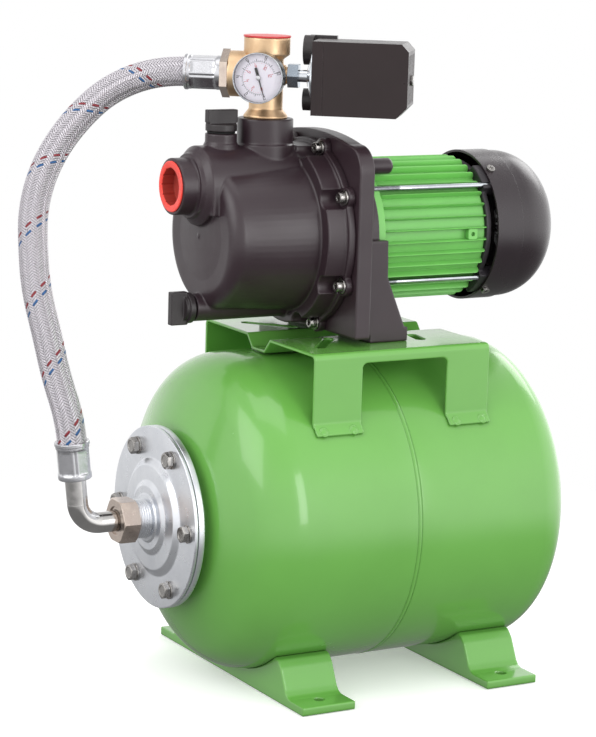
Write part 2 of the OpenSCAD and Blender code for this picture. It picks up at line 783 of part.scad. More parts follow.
module switch_contacts() color("#b08d4a") at_switch() difference() {
  union() {
    translate([49.8, -17, -22]) cube([14, 34, 10]);
    translate([49.8, -6, -12.1]) cube([4, 12, 28]);
    translate([0, 0, 12]) rod_x(49.8, 96, 6.2);
    translate([93, -9, -22]) cube([3, 18, 36]);
    translate([53, -9, -22]) cube([41, 18, 2]);
  }
  for (y = [-12, -4, 4, 12]) translate([57, y, -13]) cylinder(h = 3, r = 2);
}
// two glands, the upper one larger and with a block beside it
module cable_glands() color(black) at_switch() {
  for (s = [-1, 1]) translate([0, gland_y, s * gland_z])
    turned_x([[32.3, 45.6, 4], [24.5, 32.4, s > 0 ? 12.3 : 9.2]]);
  translate([28, 23.6, 9]) cube([22.5, 6.6, 23.6]);
}

// ---- hose ends -------------------------------------------------------------
ferrule_start = 36.7; // distance of the top ferrule from the fitting's axis
ferrule_length = 31.5;
hose_bore_r = 8;
nipple_r = 7.95;
// the lower end leans from the vertical toward -x
lean = 6.4;
elbow_x = -228.5;
elbow_bend_r = 20;
elbow_tube_r = 8.75;
elbow_bore_r = 6.5;
elbow_stub = 22;

module hose_nut_top() color(zinc) at_cross() difference() {
  union() {
    rotate([0, -90, 0]) translate([0, 0, 30.25]) cylinder(h = 6.4, r = 20.2, $fn = 6);
    turned_hose([[17.3, 30.4, 15], [36.2, 62.2, nipple_r]]);
  }
  turned_hose([[15, 63, 6.4]]);
}

// round at both ends, eight-sided between them
module ferrule(radius, entry_r) difference() {
  union() {
    cylinder(h = 6, r = radius);
    translate([0, 0, 5.9]) cylinder(h = ferrule_length - 11.8, r = radius * 1.02, $fn = 8);
    translate([0, 0, ferrule_length - 6]) cylinder(h = 6, r = radius);
  }
  translate([0, 0, 1.6]) cylinder(h = ferrule_length, r = hose_r + 0.06);
  translate([0, 0, -1]) cylinder(h = 5, r = entry_r);
}
module ferrule_top() color(zinc) at_cross() rotate([0, -90, 0])
  translate([0, 0, ferrule_start]) ferrule(14.2, 8.02);
module ferrule_bottom() color(zinc) in_frame() translate(ferrule_foot) rotate([0, -lean, 0])
  ferrule(13.9, 8.85);

// ---- braided hose ----------------------------------------------------------
// biarcs through a few waypoints, each arc a piece of a torus
hose_reach = ferrule_start + ferrule_length;
low_dir = [-sin(lean), 0, cos(lean)];
elbow_end = [elbow_x - elbow_bend_r * cos(lean), 0, tank_z + elbow_bend_r * (1 - sin(lean))];
ferrule_foot = elbow_end + elbow_stub * low_dir;
top_dir = [cos(cross_turn), -sin(cross_turn), 0];
// [x, y, z] from the lower ferrule to the top one
waypoints = [
  ferrule_foot + ferrule_length * low_dir,
  [-264.5, 20, 285], [-268.8, 46, 352], [-256.5, 69, 413], [-224, 80, 462], [-180.5, 73, 499],
  [cross_x, 0, cross_z] - hose_reach * top_dir
];

function unit(v) = v / norm(v);
// direction of the hose at waypoint i
function way_dir(i) =
  i == 0 ? low_dir
  : i == len(waypoints) - 1 ? top_dir
  : unit(unit(waypoints[i + 1] - waypoints[i]) + unit(waypoints[i] - waypoints[i - 1]));
// the two control points of a biarc with equal end tangent lengths
function controls(start, end, start_dir, end_dir) =
  let (
    chord = end - start,
    along = chord * (start_dir + end_dir),
    bend = 2 * (1 - start_dir * end_dir),
    reach = bend < 0.00001
      ? (chord * chord) / (2 * along)
      : (sqrt(pow(along, 2) + bend * (chord * chord)) - along) / bend
  )
  [start + reach * start_dir, end - reach * end_dir];

// arc of hose from start to end, leaving start along dir
module arc_piece(start, dir, end) {
  chord = end - start;
  offset_in = chord - (chord * dir) * dir;
  inward = unit(offset_in);
  bend_r = (chord * chord) / (2 * norm(offset_in));
  sweep = 2 * atan2(norm(offset_in), chord * dir);
  normal = cross(-inward, dir);
  centre = start + bend_r * inward;
  multmatrix([
    [-inward[0], dir[0], normal[0], centre[0]],
    [-inward[1], dir[1], normal[1], centre[1]],
    [-inward[2], dir[2], normal[2], centre[2]],
    [0, 0, 0, 1]
  ])
    rotate_extrude(angle = sweep) translate([bend_r, 0]) difference() {
      circle(hose_r);
      circle(hose_bore_r);
    }
}
// thin ring that closes the joint between two arcs
module collar(point, dir)
  translate(point) rotate([0, acos(dir[2]), atan2(dir[1], dir[0])])
    translate([0, 0, -0.6]) difference() {
      cylinder(h = 1.2, r = hose_r + 0.04);
      translate([0, 0, -1]) cylinder(h = 4, r = hose_bore_r - 0.04);
    }
module biarc(i) {
  start = waypoints[i];
  end = waypoints[i + 1];
  start_dir = way_dir(i);
  end_dir = way_dir(i + 1);
  control = controls(start, end, start_dir, end_dir);
  middle = (control[0] + control[1]) / 2;
  middle_dir = unit(control[1] - control[0]);
  arc_piece(start, start_dir, middle);
  arc_piece(middle, middle_dir, end);
  collar(middle, middle_dir);
  collar(end, end_dir);
}
module braided_hose() color("#c8c8cc") {
  in_frame() {
    for (i = [0:len(waypoints) - 2]) biarc(i);
    collar(waypoints[0], low_dir);
    // straight end in the lower ferrule
    translate(ferrule_foot) rotate([0, -lean, 0]) difference() {
      turned_z([[1.7, ferrule_length, hose_r]]);
      turned_z([[0.7, 32.7, hose_bore_r]]);
    }
  }
  // straight end in the top ferrule
  at_cross() difference() {
    turned_hose([[38.4, hose_reach, hose_r]]);
    turned_hose([[37, hose_reach + 1, hose_bore_r]]);
  }
}

// ---- elbow at the tank -----------------------------------------------------
// level run, bend and leaning run, as steps along X and along the lean
module elbow_path(level, bend_tube_r, leaning) {
  translate([0, 0, tank_z]) turned_x(level);
  translate([elbow_x, 0, tank_z + elbow_bend_r]) rotate([90, 0, 0]) rotate([0, 0, 180 + lean])
    rotate_extrude(angle = 90 - lean) translate([elbow_bend_r, 0]) circle(bend_tube_r);
  translate(elbow_end) rotate([0, -lean, 0]) turned_z(leaning);
}
// the short half-millimetre steps overlap the joints with the bend
module elbow() color("#d5d7da") in_frame() difference() {
  elbow_path(
    [[elbow_x, -208, elbow_tube_r], [-211.5, -207.1, 12.6], [elbow_x - 0.5, elbow_x + 0.5, 8.8]],
    elbow_tube_r,
    [[-0.5, 0.5, 8.8], [0, elbow_stub, elbow_tube_r], [0, 46, nipple_r]]
  );
  elbow_path(
    [[elbow_x, -206, elbow_bore_r], [elbow_x - 0.5, elbow_x + 0.5, 6.55]],
    elbow_bore_r,
    [[-0.5, 0.5, 6.55], [0, 47, elbow_bore_r]]
  );
}
module elbow_nut() color("#c6b8a8") in_frame(tank_z) difference() {
  intersection() {
    hex_x(-214.1, -198.9, 34.6);
    turned_x([[-214.1, -212.8, 18.2, 20.3], [-212.81, -200.2, 20.3],
      [-200.21, -198.9, 20.3, 18.2]]);
  }
  turned_x([[-211.6, -198, 13.15], [-215, -211, 9.3], [-215, -212.9, 12]]);
}

tank_shell_flange_side();
tank_shell_motor_side();
weld_bead();
tank_flange_ring();
bladder();
flange_plate();
flange_bolts();
air_valve();
air_valve_cap();
left_foot();
right_foot();
saddle_bracket();
foot_bolts();
pump_casing();
casing_screws();
casing_washers();
casing_o_ring();
motor_bracket();
diffuser();
jet_nozzle();
venturi_tube();
impeller();
seal_rotating();
seal_seat();
priming_cap();
priming_o_ring();
drain_plug();
drain_o_ring();
suction_plug();
motor_housing();
stator_core();
stator_winding();
motor_shaft();
rotor();
front_bearing();
rear_bearing();
rear_shield();
tie_rods();
cooling_fan();
fan_cover();
fan_cover_screws();
five_way_fitting();
outlet_plug();
gauge_case();
gauge_dial();
gauge_needle();
gauge_lens();
switch_nut();
switch_flange();
switch_base();
switch_cover();
cover_screw();
switch_contacts();
cable_glands();
hose_nut_top();
ferrule_top();
braided_hose();
ferrule_bottom();
elbow();
elbow_nut();
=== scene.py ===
# A pump set on a pressure tank. The tank lies along X with its flange at the -X end.
# Pump and motor sit above it on a saddle, the motor on the +X side. A braided hose rises
# from an elbow at the flange to a brass cross, which also carries a pressure gauge.
# Z is up. Sizes are in mm and x is measured from the tank seam, unless a comment says metres.
import json
import math
from math import pi, sin, cos, sqrt, radians, atan2

import bmesh
import bpy
from mathutils import Vector, Matrix


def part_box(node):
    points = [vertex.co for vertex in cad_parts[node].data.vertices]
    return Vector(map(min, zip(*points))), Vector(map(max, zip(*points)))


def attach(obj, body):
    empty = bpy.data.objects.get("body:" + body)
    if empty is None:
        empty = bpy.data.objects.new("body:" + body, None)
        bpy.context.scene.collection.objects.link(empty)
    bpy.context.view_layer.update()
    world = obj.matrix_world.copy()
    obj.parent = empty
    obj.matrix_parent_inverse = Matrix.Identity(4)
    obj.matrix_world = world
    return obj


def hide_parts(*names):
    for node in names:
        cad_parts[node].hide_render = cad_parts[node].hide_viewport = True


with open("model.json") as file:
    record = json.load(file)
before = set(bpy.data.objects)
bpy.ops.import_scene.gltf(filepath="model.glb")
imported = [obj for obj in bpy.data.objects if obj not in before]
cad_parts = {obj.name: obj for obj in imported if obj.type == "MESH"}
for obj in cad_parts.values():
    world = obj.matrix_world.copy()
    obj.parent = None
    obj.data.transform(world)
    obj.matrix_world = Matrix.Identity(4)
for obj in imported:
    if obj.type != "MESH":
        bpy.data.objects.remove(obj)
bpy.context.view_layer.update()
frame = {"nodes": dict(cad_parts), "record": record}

MM = 0.001


def mid(node):
    lo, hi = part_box(node)
    return (lo + hi) / 2


# ------------------------------------------------------------ places read from the frame
SEAM = mid("weld_bead").x / MM
TANK_Z = mid("weld_bead").z / MM
SHELL_LO, SHELL_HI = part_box("tank_shell_motor_side")
TANK_R = (SHELL_HI - SHELL_LO).y / 2 / MM
MOTOR_Z = mid("motor_shaft").z / MM
SUCTION_Z = mid("suction_plug").z / MM
OUTLET = mid("outlet_plug")
# centre of the brass cross, below the top of the outlet plug
CROSS = Vector((OUTLET.x / MM, OUTLET.y / MM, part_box("outlet_plug")[1].z / MM - 32.42))
CROSS_TURN = radians(-38)


def link_object(name, data):
    obj = bpy.data.objects.new(name, data)
    bpy.context.scene.collection.objects.link(obj)
    return obj


# ------------------------------------------------------------ shader helpers
MATS = {}
NOISE_BAND = (0.3, 0.7)     # the span that holds most of a noise texture's values


def lin(hex_colour):
    """Linear RGBA of an sRGB "#RRGGBB" colour."""
    channels = []
    for i in (1, 3, 5):
        c = int(hex_colour[i:i + 2], 16) / 255
        channels.append(c / 12.92 if c <= 0.04045 else ((c + 0.055) / 1.055) ** 2.4)
    return (*channels, 1.0)


def shade(colour, gain, lift=0.0):
    return tuple(min(1, c * gain + lift) for c in colour[:3]) + (1.0,)


class Graph:
    """Adds and links nodes in one shader tree."""

    def __init__(self, tree):
        self.tree = tree

    def set(self, node, inputs):
        """Links each input that is given a socket, and fills in the others."""
        for key, value in inputs.items():
            if isinstance(value, bpy.types.NodeSocket):
                self.tree.links.new(value, node.inputs[key])
            else:
                node.inputs[key].default_value = value

    def add(self, kind, inputs=None, **settings):
        node = self.tree.nodes.new(kind)
        for key, value in settings.items():
            setattr(node, key, value)
        self.set(node, inputs or {})
        return node

    def math(self, operation, a, b=0.0):
        return self.add("ShaderNodeMath", {0: a, 1: b}, operation=operation).outputs[0]

    def mix(self, factor, a, b):
        inputs = {0: factor, 6: a, 7: b}
        return self.add("ShaderNodeMix", inputs, data_type="RGBA").outputs[2]

    def mix_shader(self, factor, a, b):
        return self.add("ShaderNodeMixShader", {0: factor, 1: a, 2: b}).outputs[0]

    def remap(self, value, source, to, **settings):
        """Maps the pair source onto the pair to, clamped."""
        inputs = dict(enumerate((value, *source, *to)))
        return self.add("ShaderNodeMapRange", inputs, **settings).outputs[0]

    def coords(self, scale=(1, 1, 1)):
        source = self.add("ShaderNodeTexCoord").outputs["Object"]
        return self.add("ShaderNodeMapping", {"Scale": scale, "Vector": source}).outputs["Vector"]

    def noise(self, vector, scale, detail=3.0, rough=0.5):
        inputs = {"Vector": vector, "Scale": scale, "Detail": detail, "Roughness": rough}
        return self.add("ShaderNodeTexNoise", inputs).outputs["Fac"]


class Material(Graph):
    def __init__(self, name):
        self.material = bpy.data.materials.new(name)
        self.material.use_nodes = True
        super().__init__(self.material.node_tree)
        self.bsdf = self.tree.nodes["Principled BSDF"]
        self.output = self.tree.nodes["Material Output"]
        MATS[name] = self.material


def edge_wear(m, place, rounded, edge_highlight):
    """Patchy mask of painted highlight where the rounded normal leaves the true one."""
    geometry = m.add("ShaderNodeNewGeometry")
    facing = m.add("ShaderNodeVectorMath", {0: rounded, 1: geometry.outputs["Normal"]},
                   operation="DOT_PRODUCT").outputs["Value"]
    edge = m.remap(m.math("SUBTRACT", 1.0, facing), source=(0.01, 0.10), to=(0, 1))
    patches = m.noise(place, scale=260, detail=4, rough=0.7)
    return m.math("MULTIPLY", edge, m.remap(patches, source=(0.42, 0.62), to=(0, edge_highlight)))


def surface(name, colour, rough=0.4, metal=0.0, coat=0.0, coat_rough=0.06,
            drift=0.08, drift_scale=35, rough_drift=0.06, light_colour=None,
            grain=0.0, grain_scale=2500, wave=0.0, wave_scale=25,
            bevel=0.5, edge_highlight=0.0, edge_highlight_colour=None, edge_highlight_rough=None, spec=0.5,
            streak=0.0, streak_scale=400, stretch=(1, 1, 1),
            spots=0.0, ao=0.0, ao_reach=0.012, glow=0.0):
    """One procedural finish.

    drift, rough_drift: slow changes of colour and roughness, up to light_colour if given
    grain, wave: fine and slow bumps
    bevel: radius of the rounded edges, mm; wear: how far they take edge_highlight_colour, a
    painted highlight along the edges
    streak: drawn lines, scaled per axis by stretch; spots: dark cells
    ao: painted shade in corners, felt over ao_reach metres; glow: emission strength
    """
    m = Material(name)
    place = m.coords()
    base = lin(colour)
    light = lin(light_colour) if light_colour else shade(base, 1 + drift)
    blend = m.remap(m.noise(place, drift_scale, detail=5, rough=0.6), NOISE_BAND, to=(0, 1))
    tint = m.mix(blend, shade(base, 1 - drift), light)
    roughness = m.remap(m.noise(place, drift_scale * 2.3, detail=4, rough=0.6),
                        source=(0.25, 0.75), to=(rough - rough_drift, rough + rough_drift))
    if streak:
        lines = m.noise(m.coords(stretch), streak_scale, detail=4, rough=0.65)
        tint = m.mix(m.remap(lines, NOISE_BAND, to=(0, streak)), tint, shade(base, 0.55))
        swing = streak * 0.25
        roughness = m.math("ADD", roughness, m.remap(lines, NOISE_BAND, to=(-swing, swing)))
    if spots:
        cells = m.add("ShaderNodeTexVoronoi", {"Vector": place, "Scale": 160})
        mask = m.remap(cells.outputs["Distance"], source=(0.0, 0.9), to=(spots, 0))
        tint = m.mix(mask, tint, shade(base, 0.7))
    normal = None
    if bevel:
        normal = m.add("ShaderNodeBevel", {"Radius": bevel * MM}, samples=4).outputs["Normal"]
        # painted highlight: the rounded edges turn lighter in patches and take their own
        # roughness
        if edge_highlight:
            edge = edge_wear(m, place, normal, edge_highlight)
            edge_highlight_tint = lin(edge_highlight_colour) if edge_highlight_colour else shade(base, 2.2, lift=0.02)
            tint = m.mix(edge, tint, edge_highlight_tint)
            if edge_highlight_rough is not None:
                kept = m.math("MULTIPLY", roughness, m.math("SUBTRACT", 1.0, edge))
                roughness = m.math("ADD", kept, m.math("MULTIPLY", edge, edge_highlight_rough))
    # painted shade: the colour darkens in corners, where an ambient occlusion node finds them
    if ao:
        corner = m.add("ShaderNodeAmbientOcclusion", {"Distance": ao_reach}, samples=4)
        mask = m.remap(corner.outputs["AO"], source=(0.2, 0.95), to=(ao, 0))
        tint = m.mix(mask, tint, shade(base, 0.35))
    heights = []
    if grain:
        fine = m.noise(place, grain_scale, detail=2, rough=0.5)
        heights.append(m.math("MULTIPLY", fine, grain))
    if wave:
        slow = m.noise(place, wave_scale, detail=1.5, rough=0.4)
        heights.append(m.math("MULTIPLY", slow, wave * 12))
    if streak:
        heights.append(m.math("MULTIPLY", lines, streak * 0.25))
    if heights:
        height = heights[0]
        for layer in heights[1:]:
            height = m.math("ADD", height, layer)
        bump = m.add("ShaderNodeBump", {"Strength": 1.0, "Distance": 0.0001, "Height": height})
        if normal is not None:
            m.set(bump, {"Normal": normal})
        normal = bump.outputs["Normal"]
    m.set(m.bsdf, {
        "Base Color": tint, "Roughness": m.math("MAXIMUM", roughness, 0.02),
        "Metallic": metal, "Specular IOR Level": spec,
        "Coat Weight": coat, "Coat Roughness": coat_rough})
    # the surface gives off light: painted light
    if glow:
        m.set(m.bsdf, {"Emission Color": tint, "Emission Strength": glow})
    if normal is not None:
        m.set(m.bsdf, {"Normal": normal})
    m.material.diffuse_color = base


# ------------------------------------------------------------ materials
# paint
surface("green_paint", "#69A94B", rough=0.24, coat=0.55, coat_rough=0.07, drift=0.05,
        drift_scale=8, rough_drift=0.04, grain=0.10, grain_scale=1400, wave=0.30, wave_scale=18,
        bevel=0.9, edge_highlight=0.22, edge_highlight_colour="#9BD07C", edge_highlight_rough=0.3, ao=0.45)
surface("motor_green", "#76C460", rough=0.34, coat=0.3, coat_rough=0.14, drift=0.07,
        drift_scale=22, grain=0.35, grain_scale=1500, wave=0.1, wave_scale=60, bevel=0.35,
        edge_highlight=0.35, edge_highlight_colour="#A4DF90", edge_highlight_rough=0.35, ao=0.5, ao_reach=0.006)

# dark plastics
surface("casing_plastic", "#2F2228", rough=0.34, drift=0.10, drift_scale=12, rough_drift=0.07,
        grain=0.55, grain_scale=2300, wave=0.25, wave_scale=40, bevel=0.8, edge_highlight=0.25,
        edge_highlight_colour="#5A5355", spec=0.55)
surface("cover_plastic", "#261D22", rough=0.27, drift=0.10, drift_scale=14, grain=0.30,
        grain_scale=2600, wave=0.3, wave_scale=30, bevel=0.7, edge_highlight=0.25, edge_highlight_colour="#575053",
        spec=0.6)
surface("black_plastic", "#272123", rough=0.42, drift=0.12, drift_scale=30, rough_drift=0.08,
        grain=0.7, grain_scale=2600, bevel=0.6, edge_highlight=0.3, edge_highlight_colour="#5E585A", spec=0.55)
surface("switch_plastic", "#261B1C", rough=0.32, drift_scale=25, rough_drift=0.05, grain=0.6,
        grain_scale=3200, wave=0.15, wave_scale=30, bevel=0.8, edge_highlight=0.3, edge_highlight_colour="#6A6365",
        spec=0.32)
surface("inner_plastic", "#6C6C72", rough=0.45, drift=0.1, grain=0.4, bevel=0.4, edge_highlight=0.2)

# zinc
surface("galvanised", "#DDE0E6", rough=0.30, metal=0.9, drift=0.05, drift_scale=30,
        rough_drift=0.05, grain=0.15, grain_scale=1800, wave=0.10, wave_scale=45, bevel=0.6,
        edge_highlight=0.4, edge_highlight_colour="#F2F4F6", streak=0.07, stretch=(1, 5, 5), streak_scale=70,
        light_colour="#ECEEF2", spots=0.03)
surface("zinc_bolt", "#A8A5A2", rough=0.24, metal=1.0, drift=0.18, drift_scale=170,
        rough_drift=0.10, grain=0.4, grain_scale=3000, bevel=0.35, edge_highlight=0.5,
        edge_highlight_colour="#F0EFEC", streak=0.3, stretch=(3, 1, 1), streak_scale=500)
surface("zinc_rod", "#C9CED3", rough=0.20, metal=1.0, drift_scale=120, bevel=0.0, streak=0.2,
        stretch=(0.1, 4, 4), streak_scale=600)
surface("zinc_nut", "#A3ADB8", rough=0.26, metal=1.0, drift=0.07, drift_scale=60,
        rough_drift=0.08, grain=0.3, edge_highlight=0.5, edge_highlight_colour="#DDE3E8", streak=0.2,
        stretch=(1, 1, 3))
surface("bright_zinc", "#CFD3D8", rough=0.16, metal=1.0, drift=0.10, drift_scale=90, grain=0.15,
        bevel=0.4, edge_highlight=0.4, edge_highlight_colour="#FFFFFF", wave=0.15, wave_scale=90)

# rubber
surface("bladder_rubber", "#1A1A1A", rough=0.75, drift=0.2, grain=0.8, bevel=0.4, spec=0.3)
surface("seal_rubber", "#151515", rough=0.6, drift=0.15, grain=0.5, bevel=0.2, spec=0.35)

# brass and ceramic
surface("valve_brass", "#C79A55", rough=0.28, metal=1.0, drift=0.12, drift_scale=120,
        rough_drift=0.08, grain=0.2, bevel=0.4, edge_highlight=0.4, edge_highlight_colour="#F2D59A", streak=0.2,
        stretch=(4, 1, 1))
surface("brass_body", "#D2AE88", rough=0.42, metal=0.9, drift=0.06, drift_scale=40, grain=0.5,
        grain_scale=1600, wave=0.20, wave_scale=60, bevel=0.8, edge_highlight=0.5, edge_highlight_colour="#F7E4C6",
        edge_highlight_rough=0.3, streak=0.06, stretch=(1, 1, 0.2), streak_scale=300,
        light_colour="#E6C8A2")
surface("contact_brass", "#B08D4A", rough=0.35, metal=0.9, bevel=0.3)
surface("ceramic", "#DAD7CE", rough=0.2, drift=0.04, bevel=0.3)

# red plugs
# the darker red of the plug's recess: painted shade of its depth
surface("plug_inner", "#A4362B", rough=0.5, drift=0.10, drift_scale=60, grain=0.4, bevel=0.3,
        edge_highlight=0.2, edge_highlight_colour="#C84A3C")
surface("orange_plug", "#F4473B", rough=0.38, drift_scale=60, grain=0.4, edge_highlight=0.3,
        edge_highlight_colour="#FF8A7C")
surface("red_plug", "#C92B2E", rough=0.35, drift_scale=60, grain=0.4, bevel=0.4, edge_highlight=0.3,
        edge_highlight_colour="#F08080")

# motor parts
surface("lamination", "#7F8183", rough=0.45, metal=0.8, streak=0.6, stretch=(60, 1, 1),
        streak_scale=60, bevel=0.3)
surface("winding", "#A4542A", rough=0.35, metal=0.5, streak=0.7, stretch=(1, 12, 12),
        streak_scale=90, bevel=0.6)
surface("shaft_steel", "#BFC1C4", rough=0.2, metal=1.0, streak=0.15, stretch=(8, 1, 1),
        streak_scale=300, bevel=0.3)
surface("shield_black", "#29252A", rough=0.5, drift=0.15, grain=0.8, grain_scale=1500,
        bevel=0.7, edge_highlight=0.3, edge_highlight_colour="#5A5658")

# gauge
surface("gauge_black", "#121213", rough=0.28, drift=0.1, grain=0.2, bevel=0.4, edge_highlight=0.3,
        edge_highlight_colour="#55565A")
# the white dial glows a little: painted light against the shade of the bezel
surface("gauge_white", "#E6E2EC", rough=0.45, drift=0.02, drift_scale=90, rough_drift=0.05,
        grain=0.15, bevel=0.0, glow=0.2)
surface("dial_black", "#26262B", rough=0.5, drift=0.1, bevel=0.0)
surface("dial_red", "#C63A44", rough=0.5, drift=0.1, bevel=0.0)

# hose fittings
surface("nickel_nut", "#D0C0B6", rough=0.22, metal=1.0, drift=0.12, drift_scale=80,
        rough_drift=0.08, grain=0.25, bevel=0.6, edge_highlight=0.55, edge_highlight_colour="#FFF6EA", streak=0.15,
        stretch=(1, 4, 1), streak_scale=200, light_colour="#D8C9BC")
surface("ferrule_steel", "#C9C9CD", rough=0.22, metal=0.95, drift=0.05, drift_scale=50,
        rough_drift=0.08, grain=0.3, edge_highlight=0.4, edge_highlight_colour="#FFFFFF", streak=0.12,
        stretch=(1, 1, 4), streak_scale=250)
surface("chrome_elbow", "#C8C6C4", rough=0.12, metal=1.0, drift_scale=60, rough_drift=0.05,
        bevel=0.3, wave=0.2, wave_scale=90, edge_highlight=0.3, edge_highlight_colour="#FFFFFF")


def braid_material(name, colour, fleck_colour, wires=5):
    """Parallel wires on each ribbon: U runs across it, V is its height in the weave."""
    m = Material(name)
    uv = m.add("ShaderNodeUVMap", uv_map="UVMap").outputs["UV"]
    split = m.add("ShaderNodeSeparateXYZ", {0: uv})
    across, lift = split.outputs["X"], split.outputs["Y"]
    wire = m.math("SINE", m.math("MULTIPLY", across, 2 * pi * wires))
    place = m.coords()
    flecks = m.noise(place, scale=900, detail=3, rough=0.6)
    base = lin(colour)
    # painted shade in the grooves between the wires
    tint = m.mix(m.remap(wire, source=(-1, 0.2), to=(0.35, 0)), base, shade(base, 0.35))
    tint = m.mix(m.remap(flecks, source=(0.35, 0.7), to=(0, 0.8)), tint, lin(fleck_colour))
    # painted shade toward the edges of each ribbon, between the strands
    edge = m.math("ABSOLUTE", m.math("SUBTRACT", across, 0.5))
    tint = m.mix(m.remap(edge, source=(0.30, 0.5), to=(0, 0.8)), tint, shade(base, 0.22))
    # painted shade where the ribbon runs under the crossing one
    tint = m.mix(m.remap(lift, source=(0.0, 0.75), to=(0.6, 0)), tint, shade(base, 0.25))
    bump = m.add("ShaderNodeBump", {"Strength": 0.9, "Distance": 0.00012, "Height": wire})
    roughness = m.remap(m.noise(place, scale=300, detail=3), NOISE_BAND, to=(0.26, 0.42))
    m.set(m.bsdf, {"Base Color": tint, "Roughness": roughness, "Metallic": 0.7,
                   "Normal": bump.outputs["Normal"]})


def tracer_material(name, colour):
    """A coloured strand of the hose braid."""
    m = Material(name)
    place = m.coords()
    base = lin(colour)
    blend = m.remap(m.noise(place, scale=700, detail=3), NOISE_BAND, to=(0, 1))
    roughness = m.remap(m.noise(place, scale=500, detail=3), NOISE_BAND, to=(0.4, 0.6))
    m.set(m.bsdf, {"Base Color": m.mix(blend, base, shade(base, 0.6)), "Roughness": roughness})


def glass_material(name):
    """Clear, with a glossy reflection that grows toward grazing angles."""
    m = Material(name)
    clear = m.add("ShaderNodeBsdfTransparent").outputs[0]
    smudges = m.noise(m.coords(), scale=120, detail=3)
    gloss = m.add("ShaderNodeBsdfGlossy",
                  {"Roughness": m.remap(smudges, NOISE_BAND, to=(0.03, 0.10))}).outputs[0]
    fresnel = m.add("ShaderNodeFresnel", {"IOR": 1.35}).outputs[0]
    glass = m.mix_shader(m.math("MULTIPLY", fresnel, 0.8), clear, gloss)
    m.set(m.output, {"Surface": glass})


braid_material("hose_braid", "#E8E2EA", fleck_colour="#F9F6FA")
tracer_material("tracer_red", "#8E2430")
tracer_material("tracer_blue", "#235F98")
glass_material("gauge_glass")


def finish_cad_nodes():
    """Every CAD node takes the finish of its record slot."""
    slot_of = {s["node"]: s["material_slot"] for s in frame["record"]["subparts"]}
    for name, obj in frame["nodes"].items():
        material = MATS[slot_of[name]]
        if not obj.material_slots:
            obj.data.materials.append(material)
        for slot in obj.material_slots:
            slot.material = material
        obj.data.set_sharp_from_angle(angle=radians(32))
        for polygon in obj.data.polygons:
            polygon.use_smooth = True


# ------------------------------------------------------------ mesh helpers
# A shape is a pair (vertices, faces). A profile is a list of (along, radius) points.
class Part:
    """Collects shapes in mm and builds one object from them."""

    def __init__(self):
        self.verts, self.faces, self.finishes = [], [], []

    def add(self, shape, place=Matrix(), finish=0):
        verts, faces = shape
        first = len(self.verts)
        self.verts += [place @ Vector(p) for p in verts]
        self.faces += [[i + first for i in face] for face in faces]
        self.finishes += [finish] * len(faces)

    def build(self, name, *slots, replaces=None, body="base", angle=32,
              merge=True, recalc=True):
        """The first slot is the record slot; angle is the sharp-edge limit in degrees."""
        mesh = bpy.data.meshes.new(name)
        mesh.from_pydata([tuple(p * MM) for p in self.verts], [], self.faces)
        for slot in slots:
            mesh.materials.append(MATS[slot])
        mesh.polygons.foreach_set("material_index", self.finishes)
        if merge or recalc:
            bm = bmesh.new()
            bm.from_mesh(mesh)
            if merge:
                bmesh.ops.remove_doubles(bm, verts=bm.verts, dist=2e-6)
                bmesh.ops.dissolve_degenerate(bm, dist=1e-7, edges=bm.edges)
            if recalc:
                bmesh.ops.recalc_face_normals(bm, faces=bm.faces)
            bm.to_mesh(mesh)
            bm.free()
        mesh.polygons.foreach_set("use_smooth", [True] * len(mesh.polygons))
        mesh.set_sharp_from_angle(angle=radians(angle))
        mesh.update()
        obj = link_object(name, mesh)
        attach(obj, body)
        if replaces:
            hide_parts(replaces)
        return obj


def fillet(points, steps=5):
    """Rounds the corners given as (x, y, radius); (x, y) points stay sharp."""
    out = []
    for i, point in enumerate(points):
        if len(point) == 2:
            out.append(point)
            continue
        corner = Vector(point[:2])
        before = Vector(points[i - 1][:2]) - corner
        after = Vector(points[i + 1][:2]) - corner
        len_before, len_after = before.length, after.length
        before, after = before / len_before, after / len_after
        angle = before.angle(after)
        # the arc never takes more than about half of either side
        cut = min(point[2] / math.tan(angle / 2), len_before * 0.49, len_after * 0.49)
        radius = cut * math.tan(angle / 2)
        centre = corner + (before + after).normalized() * (radius / sin(angle / 2))
        start = corner + before * cut - centre
        end = corner + after * cut - centre
        first = atan2(start.y, start.x)
        sweep = (atan2(end.y, end.x) - first + pi) % (2 * pi) - pi
        for k in range(steps + 1):
            t = first + sweep * k / steps
            out.append((centre.x + radius * cos(t), centre.y + radius * sin(t)))
    return out


def lathe(profile, segments, closed=True, ripple=None):
    """Turns a profile about local Z; ripple(along, radius, angle) may change the radius."""
    verts, faces = [], []
    count = len(profile)
    for i in range(segments):
        a = 2 * pi * i / segments
        for along, radius in profile:
            r = radius if ripple is None else ripple(along, radius, a)
            verts.append((r * cos(a), r * sin(a), along))
    for i in range(segments):
        j = (i + 1) % segments
        for q in range(count if closed else count - 1):
            p = (q + 1) % count
            faces.append([i * count + q, j * count + q, j * count + p, i * count + p])
    return verts, faces


def loft(rings, cap_start=True, cap_end=True):
    verts, faces = [], []
    n = len(rings[0])
    for points in rings:
        verts += [tuple(p) for p in points]
    for i in range(len(rings) - 1):
        for q in range(n):
            p = (q + 1) % n
            faces.append([i * n + q, i * n + p, (i + 1) * n + p, (i + 1) * n + q])
    if cap_start:
        faces.append(list(range(n))[::-1])
    if cap_end:
        faces.append([(len(rings) - 1) * n + q for q in range(n)])
    return verts, faces


def ring(count, radius, z):
    """Closed ring about Z; radius and z are numbers or functions of the angle."""
    points = []
    for i in range(count):
        t = 2 * pi * i / count
        r = radius(t) if callable(radius) else radius
        points.append((r * cos(t), r * sin(t), z(t) if callable(z) else z))
    return points


